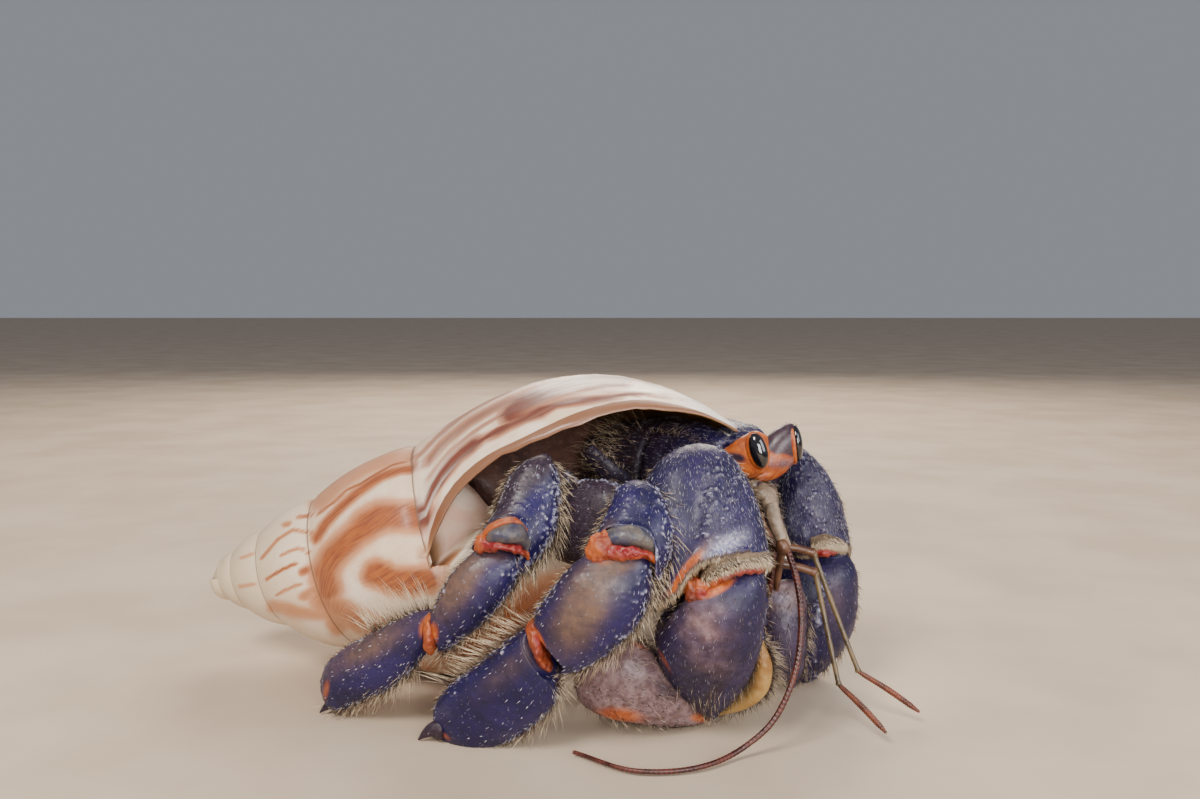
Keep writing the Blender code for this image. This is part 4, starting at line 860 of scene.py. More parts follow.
def membrane_material(name, warm, deep, pale):
    """Soft skin. The mask's first channel is red and its last is dark."""
    g = Graph(name)
    red, _, _, dark = g.mask()
    wide = g.noise(g.place(), 420.0)
    fold = g.noise(g.place(), 1500.0)
    colour = g.mix(g.fit(wide, 0.38, 0.62), warm, deep)
    colour = g.mix(g.fit(g.math("MULTIPLY_ADD", fold, 0.4, red), 0.35, 1.0), colour, (0.20, 0.010, 0.011))
    # pale tone on the crests of the folds: painted highlights
    colour = g.mix(g.times(g.fit(fold, 0.5, 0.72), 0.34), colour, pale)
    colour = g.mix(g.times(dark, 0.85), colour, (0.020, 0.012, 0.014))
    return g.finish(colour, g.fit(fold, 0.3, 0.7, 0.34, 0.6), g.math("ADD", fold, g.times(wide, 0.6)), 0.12,
                    Subsurface_Weight=0.15, Subsurface_Radius=(0.0012, 0.0004, 0.0003), Subsurface_Scale=1.0)


def cornea_material():
    g = Graph("cornea_black")
    cells = g.dots(g.place(), 9000.0, 0.2)
    band = g.noise(g.place(), 500.0, 2.0)
    colour = g.mix(g.fit(band, 0.4, 0.65), (0.002, 0.002, 0.003), (0.008, 0.007, 0.009))
    return g.finish(colour, g.fit(cells, 0.2, 0.6, 0.05, 0.10), cells, 0.004, 0.3, Coat_Weight=0.8,
                    Coat_Roughness=0.03)


def feeler_material(name, dark, light, rings=0.0):
    """Feelers, some of them ringed: the attribute 'length' runs along them in mm."""
    g = Graph(name)
    soft = g.noise(g.place(), 700.0)
    colour = g.mix(g.fit(soft, 0.35, 0.65), dark, light)
    if rings:
        wave = g.math("SINE", g.times(g.value("length"), rings))
        colour = g.mix(g.times(g.fit(wave, 0.0, 0.9), 0.6), colour, tuple(c * 0.35 for c in dark))
    return g.finish(colour, g.fit(soft, 0.3, 0.7, 0.25, 0.45), g.noise(g.place(), 4200.0, 2.0), 0.03, 0.6)


def bristle_material(name, root_tones, tip_tones, start):
    """Setae: the attribute 'tip' runs 0..1 from root to tip and 'tone' is each one's own shade."""
    g = Graph(name)
    tone = g.value("tone")
    turn = g.math("MULTIPLY_ADD", tone, -0.4, start)
    colour = g.mix(g.fit(g.value("tip"), turn, g.math("ADD", turn, 0.35)), g.mix(tone, *root_tones),
                   g.mix(tone, *tip_tones))
    speckle = g.noise(g.place(), 3000.0, 2.0)
    colour = g.mix(g.times(g.fit(speckle, 0.45, 0.7), 0.3), colour, (0.20, 0.13, 0.09))
    return g.finish(colour, g.fit(speckle, 0.3, 0.7, 0.35, 0.5))


def soft_skin_material():
    g = Graph("soft_abdomen")
    fold = g.noise(g.place(), 1300.0, 4.0)
    colour = g.mix(g.fit(g.noise(g.place(), 260.0), 0.35, 0.65), (0.075, 0.035, 0.030), (0.15, 0.070, 0.050))
    colour = g.mix(g.times(g.fit(fold, 0.5, 0.7), 0.5), colour, (0.22, 0.11, 0.075))
    return g.finish(colour, g.fit(fold, 0.3, 0.7, 0.35, 0.6), fold, 0.15)


SHELL = shell_material()
TAN = ((0.150, 0.086, 0.056), (0.092, 0.054, 0.042))
LILAC = ((0.260, 0.165, 0.165), (0.130, 0.070, 0.065))
BLUE = cuticle_material("blue_cuticle", (0.0075, 0.0050, 0.038), (0.016, 0.010, 0.068), TAN, 1.0, (0.30, 0.5))
CLAW_BLUE = cuticle_material("claw_cuticle", (0.008, 0.005, 0.034), (0.018, 0.011, 0.056), LILAC, 1.0, (0.36, 0.56),
                             2.2)
PURPLE = cuticle_material("purple_cuticle", (0.013, 0.008, 0.020), (0.026, 0.015, 0.030), TAN, 1.3, (0.4, 0.65))
ORANGE = cuticle_material("orange_cuticle", (0.12, 0.055, 0.045), (0.22, 0.090, 0.060), LILAC, 0.4, (0.3, 0.5))
# the last tone of each soft skin is the painted highlight on its folds
MEMBRANE = membrane_material("joint_membrane", (0.38, 0.080, 0.014), (0.18, 0.026, 0.010), (0.44, 0.17, 0.07))
LIP = membrane_material("pale_lip", (0.095, 0.078, 0.066), (0.030, 0.030, 0.062), (0.19, 0.155, 0.12))
COMB = membrane_material("comb_lip", (0.20, 0.14, 0.085), (0.095, 0.062, 0.038), (0.34, 0.26, 0.17))
HORN = membrane_material("pale_horn", (0.44, 0.26, 0.075), (0.30, 0.135, 0.035), (0.55, 0.40, 0.18))
PALE = cuticle_material("pale_cuticle", (0.10, 0.070, 0.048), (0.30, 0.215, 0.145), TAN, 0.5, (0.35, 0.5))
STALK = cuticle_material("stalk_cuticle", (0.045, 0.022, 0.034), (0.085, 0.040, 0.050), TAN, 0.3, (0.28, 0.45))
FEELER_BASE = feeler_material("feeler_base", (0.055, 0.020, 0.010), (0.13, 0.055, 0.025))
SOFT = soft_skin_material()
CORNEA = cornea_material()
FEELER = feeler_material("red_feeler", (0.040, 0.009, 0.007), (0.105, 0.021, 0.013), 14.0)
OLIVE = feeler_material("olive_feeler", (0.055, 0.036, 0.018), (0.14, 0.090, 0.038))
LASH = feeler_material("lash", (0.085, 0.022, 0.012), (0.20, 0.046, 0.019), 26.0)
BRISTLE = bristle_material("bristle", ((0.012, 0.008, 0.008), (0.07, 0.035, 0.02)),
                           ((0.30, 0.19, 0.10), (0.72, 0.58, 0.40)), 0.55)
FLECK = bristle_material("fleck", ((0.06, 0.06, 0.14), (0.24, 0.23, 0.31)),
                         ((0.24, 0.24, 0.34), (0.58, 0.55, 0.54)), 0.35)


# Channels of the attribute 'mask', the pale one also painted highlights and the dark one also painted shade; on the
# membranes the first one is red
TAN_PATCH, ORANGE_JOINT, PALE_RIM_AND_HIGHLIGHT, DARK = range(4)


# Limb segments

def ray_point(x, y, depth):
    """The point in mm at a depth (the y coordinate) that is seen at a place in the photograph."""
    tilt = math.radians(CAMERA_TILT)
    f = PHOTO[0] * LENS / SENSOR
    u = (np.asarray(x, float) - PHOTO[0] / 2) / f
    v = (PHOTO[1] / 2 - np.asarray(y, float)) / f
    ray = np.stack([u + 0 * v, math.cos(tilt) + v * math.sin(tilt), -math.sin(tilt) + v * math.cos(tilt)], -1)
    k = (depth - EYE_POINT[1]) / ray[..., 1]
    return EYE_POINT + ray * k[..., None]


def joint_dirs(points, last_dir=None):
    """The way a limb runs at each of its joints."""
    steps = [unit(np.subtract(b, a)) for a, b in zip(points, points[1:])]
    dirs = [steps[0]]
    dirs += [unit(a + b) for a, b in zip(steps, steps[1:])]
    dirs.append(steps[-1] if last_dir is None else unit(last_dir))
    return dirs


class Skin:
    """A lofted surface with places t (0..1 along) and a (angle round, 0 on the broad side)."""

    def __init__(self, name, path, halves, half_thin, along, cols, power=2.3):
        self.name = name
        self.rows, self.cols = len(path), cols
        self.t = np.linspace(0, 1, self.rows)[:, None] + np.zeros((1, cols))
        angles = np.arange(cols) * TURN / cols
        self.a = angles[None, :] + np.zeros((self.rows, 1))
        c, s = np.cos(angles), np.sin(angles)
        x = np.sign(c) * np.abs(c) ** (2 / power)
        y = np.sign(s) * np.abs(s) ** (2 / power)
        self.path, self.along = path, unit(along)
        thin = unit(np.cross(self.along, halves))
        self.grid = (path[:, None] + x[None, :, None] * halves[:, None]
                     + (half_thin[:, None] * y[None])[..., None] * thin[:, None])
        self.mask = np.zeros((self.rows, cols, 4))
        self.size = (np.linalg.norm(halves, axis=1)[:, None] + half_thin[:, None]) / 2 + np.zeros((1, cols))

    def push(self, amount):
        """Moves the surface outwards by an array of mm."""
        self.grid = self.grid + grid_normals(self.grid) * amount[..., None]

    def paint(self, channel, amount):
        self.mask[..., channel] = np.clip(self.mask[..., channel] + amount, 0, 1)

    def spot(self, x, y, long, short, angle=0.0):
        """Soft patch round a place in the photograph, on the side that is seen there."""
        p = pixel(self.grid) - (x, y)
        c, s = math.cos(math.radians(angle)), math.sin(math.radians(angle))
        far = ((p[..., 0] * c + p[..., 1] * s) / long) ** 2 + ((p[..., 1] * c - p[..., 0] * s) / short) ** 2
        return np.exp(-far) * self.front()

    def beside(self, x0, y0, x1, y1, soft):
        """1 on the left of a line drawn in the photograph, 0 on its right."""
        p = pixel(self.grid)
        along = unit(np.array([x1 - x0, y1 - y0], float))
        gap = (p[..., 0] - x0) * along[1] - (p[..., 1] - y0) * along[0]
        return smoothstep(0.5 + gap / (2 * soft))

    def front(self):
        normals = grid_normals(self.grid)
        view = unit(EYE_POINT - self.grid)
        return smoothstep((normals * view).sum(-1) / 0.3 + 0.5)

    def notch(self, depth, middle, width):
        """Draws the far end back on one side of the limb, as the arch of a joint."""
        cut = depth * np.exp(-np.abs(turn_gap(self.a[0], middle) / width) ** 4)
        at = self.t * (1 - cut) * (self.rows - 1)
        low = np.clip(np.floor(at).astype(int), 0, self.rows - 2)
        w = at - low
        cols = np.arange(self.cols)[None, :]
        for key in ("grid", "mask"):
            values = getattr(self, key)
            setattr(self, key, values[low, cols] * (1 - w[..., None]) + values[low + 1, cols] * w[..., None])

    def bumps(self, count, radius, height, seed, where=None):
        """Small tubercles at seeded random places."""
        rng = np.random.default_rng(seed)
        lift = np.zeros((self.rows, self.cols))
        row_step = np.linalg.norm(np.diff(self.path, axis=0), axis=1).mean()
        col_step = np.maximum(TURN * self.size / self.cols, 1e-3)
        for _ in range(count):
            i = int(rng.uniform(2, self.rows - 2))
            j = int(rng.uniform(0, self.cols))
            chance = 1.0 if where is None else where[i, j]
            draw = rng.random(3)
            if draw[0] > chance:
                continue
            r = radius * (0.6 + 0.8 * draw[1])
            h = height * (0.5 + draw[2])
            di = int(min(2.2 * r / row_step + 2, 14))
            dj = int(min(2.2 * r / col_step[i, j] + 2, 14))
            rows = np.arange(max(i - di, 0), min(i + di + 1, self.rows))
            cols = np.arange(j - dj, j + dj + 1) % self.cols
            patch = self.grid[np.ix_(rows, cols)] - self.grid[i, j]
            far = (patch**2).sum(-1) / r**2
            lift[np.ix_(rows, cols)] = np.maximum(lift[np.ix_(rows, cols)], h * np.exp(-far))
        self.push(lift)
        return lift

    def closed(self, dome):
        """Grid with rounded or hollow ends: points, faces and the mask for each point."""
        head, tail, head_mask, tail_mask = [], [], [], []
        steps = 6
        for k in range(1, steps + 1):
            angle = math.pi / 2 * k / steps
            for ring, mask, direction, depth, out, out_mask in (
                    (self.grid[0], self.mask[0], -self.along[0], dome[0], head, head_mask),
                    (self.grid[-1], self.mask[-1], self.along[-1], dome[1], tail, tail_mask)):
                middle = ring.mean(axis=0)
                out.append(middle + (ring - middle) * max(math.cos(angle), 0.001)
                           + direction * depth * math.sin(angle))
                mask = mask.copy()
                # hollow ends darken towards their bottom: painted shade in the sockets
                if depth < 0:
                    mask[:, DARK] = np.maximum(mask[:, DARK], min(1.0, 0.5 * k))
                out_mask.append(mask)
        grid = np.concatenate([np.array(head[::-1]), self.grid, np.array(tail)])
        masks = np.concatenate([np.array(head_mask[::-1]), self.mask, np.array(tail_mask)])
        points = np.concatenate([grid.reshape(-1, 3), [grid[0].mean(axis=0), grid[-1].mean(axis=0)]])
        mask = np.concatenate([masks.reshape(-1, 4), [masks[0, 0], masks[-1, 0]]])
        return points, [grid_faces(len(grid), self.cols), end_fans(len(grid), self.cols)], mask


def outlined(name, stations, depths, thins, rows=110, cols=110, power=2.2):
    """A skin whose outline in the photograph's view runs through given places.

    Stations are (place along, left x, left y, right x, right y); depths and half thicknesses are tables.
    """
    t = np.linspace(0, 1, rows)
    left_x, left_y, right_x, right_y = table(stations, t)
    depth, thin = table(depths, t)[0], table(thins, t)[0]
    left, right = ray_point(left_x, left_y, depth), ray_point(right_x, right_y, depth)
    path = (left + right) / 2
    return Skin(name, path, (right - left) / 2, thin, np.gradient(path, axis=0), cols, power)


BLOB_GRID = 40


def blob(name, x, y, long, short, depth, thick, mat, slot, angle=0.0, seed=0, lumps=0.0, nodes=(), masks=(),
         lean=0.0):
    """A rounded lump at a place in the photograph: half sizes in its pixels, half thickness in mm."""
    run = 2 * np.linspace(0.012, 0.988, BLOB_GRID) - 1
    width = np.sqrt(1 - run**2)
    c, s = math.cos(math.radians(angle)), math.sin(math.radians(angle))
    at = depth + run * lean
    left = ray_point(x + c * long * run + s * short * width, y + s * long * run - c * short * width, at)
    right = ray_point(x + c * long * run - s * short * width, y + s * long * run + c * short * width, at)
    path = (left + right) / 2
    skin = Skin(name, path, (right - left) / 2, thick * width, np.gradient(path, axis=0), BLOB_GRID, 2.0)
    if lumps:
        skin.push(lumps * noise3(skin.grid, 0.9, seed) + 0.5 * lumps * noise3(skin.grid, 0.4, seed + 1))
    for channel, amount in masks:
        skin.paint(channel, amount)
    return finish_skin(skin, mat, slot, (0.02, 0.02), nodes)


def frame_path(start, start_dir, end, end_dir, t):
    """A smooth path between two joints that leaves and arrives in given directions."""
    start, end = np.asarray(start, float), np.asarray(end, float)
    length = np.linalg.norm(end - start)
    a, b = unit(start_dir) * length, unit(end_dir) * length
    t = np.asarray(t)[:, None]
    return ((2 * t**3 - 3 * t**2 + 1) * start + (t**3 - 2 * t**2 + t) * a
            + (3 * t**2 - 2 * t**3) * end + (t**3 - t**2) * b)


def segment(name, start, end, start_dir, end_dir, broad, sizes, rows, cols):
    """A limb segment's skin from its stations (place, half breadth, half thickness)."""
    t = np.linspace(0, 1, rows)
    path = frame_path(start, start_dir, end, end_dir, t)
    along = unit(np.gradient(path, axis=0))
    half_broad, half_thin = table(sizes, t)
    return Skin(name, path, across_path(broad, along) * half_broad[:, None], half_thin, along, cols)


def path_segment(name, points, sizes, broad):
    """A skin along a short path with a half breadth and half thickness at each of its points."""
    chord = run_lengths(np.asarray(points, float))
    at = np.linspace(0, chord[-1], 80)
    x, y, z, half_broad, half_thin = table([(c, *p, *s) for c, p, s in zip(chord, points, sizes)], at)
    path = np.stack([x, y, z], 1)
    along = unit(np.gradient(path, axis=0))
    return Skin(name, path, across_path(broad, along) * np.maximum(half_broad, 0.05)[:, None],
                np.maximum(half_thin, 0.05), along, 64, 2.2)


def scaled(sizes, factor):
    return tuple((*item[:-2], item[-2] * factor, item[-1] * factor) for item in sizes)


SKINS = {}


def finish_skin(skin, mat, slot, dome=(0.4, 0.4), nodes=None):
    points, faces, mask = skin.closed(dome)
    points[:, 2] = np.maximum(points[:, 2], FLOOR_GAP)
    obj = new_mesh(skin.name + "_skin", points, faces, mat, colours={"mask": mask})
    SKINS[skin.name] = skin
    return settle(obj, slot, *((skin.name,) if nodes is None else nodes))


def finish_limb(skin, part, dome):
    if part == "merus":
        return finish_skin(skin, PURPLE, "purple_cuticle", dome)
    return finish_skin(skin, BLUE, "blue_cuticle", dome)


# Bristles and flecks

COATS = {}


# Places from which bristles grow: points, outward normals, the way the limb runs, unwrap places, random numbers
Roots = namedtuple("Roots", "points normals along spots rng")


TILES = 8


def tile_spot(index, u, v):
    """Place on the shared unwrap: each skin has a tile of its own."""
    return np.stack([(index % TILES + 0.03 + 0.92 * u) / TILES, (index // TILES + 0.03 + 0.92 * v) / TILES], -1)


def skin_roots(skin, count, seed, where):
    rng = np.random.default_rng(seed)
    grid = skin.grid
    normals = grid_normals(grid)
    along = unit(np.gradient(grid, axis=0))
    side = np.linalg.norm(np.roll(grid, -1, axis=1) - grid, axis=-1)
    step = np.linalg.norm(np.gradient(grid, axis=0), axis=-1)
    weight = side * step * np.clip(where, 0, None)
    weight[-1] = 0
    total = weight.sum()
    if total <= 0:
        return None
    cells = rng.choice(weight.size, size=count, p=(weight / total).ravel())
    i, j = np.unravel_index(cells, weight.shape)
    u, v = rng.random(count), rng.random(count)
    i2, j2 = np.minimum(i + 1, skin.rows - 1), (j + 1) % skin.cols

    def at(values):
        low = values[i, j] * (1 - u[:, None]) + values[i, j2] * u[:, None]
        high = values[i2, j] * (1 - u[:, None]) + values[i2, j2] * u[:, None]
        return low * (1 - v[:, None]) + high * v[:, None]

    index = list(SKINS).index(skin.name) if skin.name in SKINS else len(SKINS)
    spots = tile_spot(index, (j + u) / skin.cols, (i + v) / skin.rows)
    return Roots(at(grid), unit(at(normals)), unit(at(along)), spots, rng)


def mesh_roots(name, count, seed, where, toward):
    """Roots on a joined body skin; `toward` is the way its hairs lie."""
    rng = np.random.default_rng(seed)
    points, tris = BODIES[name]
    a, b, c = (points[tris[:, k]] for k in range(3))
    cross = np.cross(b - a, c - a)
    area = np.linalg.norm(cross, axis=1)
    weight = area * np.clip(where((a + b + c) / 3, unit(cross)), 0, None)
    pick = rng.choice(len(tris), size=count, p=weight / weight.sum())
    u, v = rng.random(count), rng.random(count)
    flip = u + v > 1
    u, v = np.where(flip, 1 - u, u), np.where(flip, 1 - v, v)
    place = a[pick] + (b - a)[pick] * u[:, None] + (c - a)[pick] * v[:, None]
    normals = unit(cross[pick])
    low, high = points.min(axis=0), points.max(axis=0)
    local = (place - low) / (high - low)
    side = (normals[:, 1] > 0) * 0.5
    spots = tile_spot(48 + list(BODIES).index(name), local[:, 0] * 0.48 + side, local[:, 2])
    return Roots(place, normals, across_path(toward, normals), spots, rng)


def grow(coat, roots, length, radius, lean=0.5, spread=0.2, curl=0.2, drop=0.0, tone=(0.0, 1.0), rings=2,
         even=0.4, pull=None):
    """Adds tapered, curved bristles to a coat: lean 0 stands up from the skin, 1 lies along the limb."""
    if roots is None:
        return
    rng = roots.rng
    n = len(roots.points)
    heading = roots.normals * (1 - lean) + roots.along * lean
    heading = heading + rng.normal(0, spread, (n, 3))
    if pull is not None:
        heading = heading + np.asarray(pull, float)
    heading = unit(heading)
    below = (heading * roots.normals).sum(1)
    heading = unit(heading + roots.normals * np.maximum(0.06 - below, 0)[:, None])
    bend = roots.along * curl - UP * drop + rng.normal(0, 0.08, (n, 3))
    sizes = length * (1 - even + 2 * even * rng.random(n))[:, None]
    thick = radius * (0.75 + 0.5 * rng.random(n))[:, None]
    shade = tone[0] + (tone[1] - tone[0]) * rng.random(n)
    reference = np.where(np.abs(heading[:, 2:3]) < 0.8, UP[None], np.array([[1.0, 0.0, 0.0]]))
    side = unit(np.cross(heading, reference))
    other = np.cross(heading, side)
    points, tips, spots = [], [], []
    for ring in range(rings):
        s = ring / rings
        middle = roots.points + sizes * (heading * s + bend * s * s) - heading * (0.1 if ring == 0 else 0.0)
        for j in range(3):
            angle = TURN * j / 3
            points.append(middle + thick * (1 - 0.8 * s) * (math.cos(angle) * side + math.sin(angle) * other))
            tips.append(np.full(n, s))
            spots.append(roots.spots + 0.003 * np.array([j / 3 - 0.33, s - 0.5]))
    points.append(roots.points + sizes * (heading + bend))
    tips.append(np.ones(n))
    spots.append(roots.spots + 0.003 * np.array([0.0, 0.5]))
    width = 3 * rings + 1
    points = np.stack(points, 1).reshape(-1, 3)
    points[:, 2] = np.maximum(points[:, 2], FLOOR_GAP)
    quads = [(3 * k + j, 3 * k + (j + 1) % 3, 3 * k + 3 + (j + 1) % 3, 3 * k + 3 + j)
             for k in range(rings - 1) for j in range(3)]
    last = 3 * (rings - 1)
    tris = [(2, 1, 0)] + [(last + j, last + (j + 1) % 3, width - 1) for j in range(3)]
    tris += [(a, b, c) for a, b, c, _ in quads] + [(a, c, d) for a, _, c, d in quads]
    tris = (np.array(tris)[None] + (np.arange(n) * width)[:, None, None]).reshape(-1, 3)
    COATS.setdefault(coat, []).append((points, tris, np.stack(tips, 1).ravel(), np.repeat(shade, width),
                                       np.stack(spots, 1).reshape(-1, 2)))


def plant(skin, coat, count, seed, where, *shape, **more):
    """Grows bristles on one skin, more of them where `where` is larger."""
    grow(coat, skin_roots(skin, int(count), seed, where), *shape, **more)


def build_coats():
    """One mesh for each coat."""
    for (name, mat, slot), parts in COATS.items():
        shift = np.cumsum([0] + [len(part[0]) for part in parts[:-1]])
        faces = np.concatenate([part[1] + s for part, s in zip(parts, shift)])
        points, tips, tones, spots = (np.concatenate([part[k] for part in parts]) for k in (0, 2, 3, 4))
        obj = new_mesh(name, points, [faces], mat, point_data={"tip": tips, "tone": tones}, uv=spots)
        settle(obj, slot)


def coat_of(region, kind="bristle", slot="blue_cuticle"):
    return (kind + "s_" + region, FLECK if kind == "fleck" else BRISTLE, slot)


# Walking legs

LEG3_SIZES = (
    ((0, 1.8, 1.4), (0.5, 2.3, 1.7), (1, 1.9, 1.5)),
    ((0, 1.8, 1.4), (0.18, 2.9, 1.9), (0.5, 3.6, 2.3), (0.82, 3.6, 2.3), (1, 3.0, 2.0)),
    ((0, 2.3, 1.6), (0.2, 3.2, 2.1), (0.55, 3.3, 2.0), (0.85, 2.9, 1.8), (1, 2.5, 1.7)),
    ((0, 2.1, 1.4), (0.2, 2.8, 1.7), (0.5, 2.9, 1.7), (0.8, 2.4, 1.5), (0.92, 1.5, 1.0), (1, 0.45, 0.45)))
LEG2_SIZES = (
    ((0, 2.2, 1.8), (0.5, 3.8, 2.2), (1, 2.7, 1.9)),
    ((0, 2.6, 1.9), (0.3, 3.8, 2.5), (0.7, 4.2, 2.6), (1, 3.5, 2.3)),
    ((0, 2.8, 1.9), (0.2, 4.1, 2.5), (0.5, 4.5, 2.5), (0.82, 3.8, 2.2), (1, 3.0, 1.9)),
    ((0, 2.5, 1.7), (0.2, 3.7, 2.1), (0.5, 4.1, 2.1), (0.8, 3.3, 1.8), (0.92, 1.9, 1.2), (1, 0.45, 0.45)))

# Outlines in the photograph's pixels: place along, upper or left edge, lower or right edge
LEG_SHAPES = {
    "leg3_right_carpus": (
        ((0, 540, 456, 549, 455), (0.1, 526, 462, 554, 464), (0.25, 511, 478, 558, 481), (0.45, 501, 499, 559, 505),
         (0.65, 493, 518, 556, 527), (0.85, 482, 535, 545, 550), (1, 472, 549, 522, 574)),
        ((0, -18.9), (0.4, -20.5), (1, -23.6)), ((0, 0.5), (0.12, 1.5), (0.45, 2.2), (0.85, 2.3), (1, 1.9))),
    "leg3_right_propodus": (
        ((0, 484, 545, 514, 545), (0.06, 474, 552, 522, 552), (0.2, 460, 567, 522, 568), (0.4, 447, 583, 508, 592),
         (0.6, 440, 596, 490, 613), (0.8, 437, 606, 466, 634), (0.93, 434, 612, 448, 647), (1, 434, 617, 440, 651)),
        ((0, -23.2), (0.3, -24.2), (1, -22.6)), ((0, 1.0), (0.1, 1.7), (0.4, 2.1), (0.85, 1.9), (1, 1.6))),
    "leg3_right_dactyl": (
        ((0, 432, 609, 429, 644), (0.1, 424, 610, 419, 660), (0.3, 400, 620, 395, 683), (0.55, 370, 635, 364, 699),
         (0.8, 344, 650, 341, 707), (0.92, 331, 662, 332, 705), (0.98, 326, 673, 328, 697), (1, 326, 680, 327, 690)),
        ((0, -22.2), (0.5, -19.8), (1, -17.0)), ((0, 1.3), (0.2, 1.7), (0.6, 1.8), (0.9, 1.4), (1, 0.6))),
    "leg2_right_merus": (
        ((0, 555, 540, 560, 502), (0.15, 556, 554, 565, 490), (0.4, 572, 563, 586, 480), (0.7, 597, 566, 612, 482),
         (1, 622, 556, 632, 494)),
        ((0, -13.0), (0.35, -17.5), (1, -22.6)), ((0, 1.4), (0.3, 2.4), (0.8, 2.5), (1, 1.6))),
    "leg2_right_carpus": (
        ((0, 629, 487, 641, 487), (0.08, 620, 491, 652, 491), (0.25, 612, 504, 664, 503), (0.45, 605, 519, 670, 521),
         (0.65, 597, 535, 672, 540), (0.85, 588, 552, 667, 563), (1, 590, 567, 656, 582)),
        ((0, -23.6), (0.4, -25.6), (1, -28.0)), ((0, 0.8), (0.12, 1.9), (0.45, 2.6), (0.85, 2.7), (1, 2.3))),
    "leg2_right_propodus": (
        ((0, 598, 563, 634, 553), (0.06, 582, 562, 646, 558), (0.2, 566, 574, 651, 577), (0.4, 552, 591, 647, 603),
         (0.6, 542, 604, 630, 628), (0.8, 536, 615, 602, 654), (0.93, 535, 624, 574, 669), (1, 537, 630, 559, 671)),
        ((0, -27.6), (0.25, -28.6), (1, -28.2)), ((0, 1.2), (0.1, 2.0), (0.4, 2.6), (0.85, 2.2), (1, 1.8))),
    "leg2_right_dactyl": (
        ((0, 532, 628, 547, 663), (0.08, 525, 630, 556, 675), (0.22, 508, 642, 556, 696), (0.42, 484, 661, 536, 719),
         (0.65, 460, 679, 504, 740), (0.83, 444, 693, 474, 747), (0.93, 437, 705, 455, 743), (1, 436, 716, 443, 731)),
        ((0, -28.0), (0.5, -25.8), (1, -23.2)), ((0, 1.6), (0.2, 2.1), (0.6, 2.1), (0.9, 1.5), (1, 0.7))),
}


def crest(skin, middle, width, start=0.1, stop=1.0):
    """1 along one edge of a limb."""
    return bump(turn_gap(skin.a, middle), 0.0, width) * smoothstep((skin.t - start) / 0.1) * smoothstep(
        (stop - skin.t) / 0.06)


def cuticle_relief(skin, seed, count=260):
    skin.push(0.07 * noise3(skin.grid, 3.2, seed) + 0.025 * noise3(skin.grid, 1.1, seed + 1))
    skin.bumps(count, 0.13, 0.05, seed + 2)


def leg_dress(skin, part, seed):
    """Tubercles and pale and dark places that all walking legs share."""
    lower, upper = crest(skin, 0.0, 0.42), crest(skin, math.pi, 0.36)
    cuticle_relief(skin, seed)
    if part != "merus":
        skin.push(0.10 * (lower + 0.6 * upper))
    side = crest(skin, 0.28, 0.62)
    lift = skin.bumps(620, 0.15, 0.13, seed + 4, np.clip(0.9 * lower + 0.35 * upper, 0, 1))
    if part in ("carpus", "propodus"):
        lift = lift + skin.bumps(1100, 0.13, 0.12, seed + 6, side if part == "carpus" else 0.5 * side)
    # tubercles painted pale: their own pale tips, made brighter as painted highlights
    skin.paint(PALE_RIM_AND_HIGHLIGHT, 6.5 * lift)
    skin.paint(DARK, 0.4 * crest(skin, math.pi, 0.55) * (0.7 + 0.6 * noise3(skin.grid, 2.0, seed + 7)))
    skin.paint(PALE_RIM_AND_HIGHLIGHT, (0.34 * lower + 0.12 * upper) * (0.55 + 0.8 * noise3(skin.grid, 1.0, seed + 5)))


# Long tufts that the photograph shows on two dactyls: count, angle, width, end, then the hairs' form
TUFTS = {
    "leg3_right_dactyl": (190, 0.4, 0.5, 0.6, 3.6, 0.030, 0.2, 0.14, 0.2, 0.0, (0.9, 1.4), 3, 0.4, (-0.3, 0.1, 0.5)),
    "leg2_right_dactyl": (200, 0.5, 0.45, 0.8, 3.0, 0.034, 0.3, 0.12, 0.2, 0.0, (0.9, 1.3), 3, 0.4, (-0.6, 0.2, 0.1)),
}


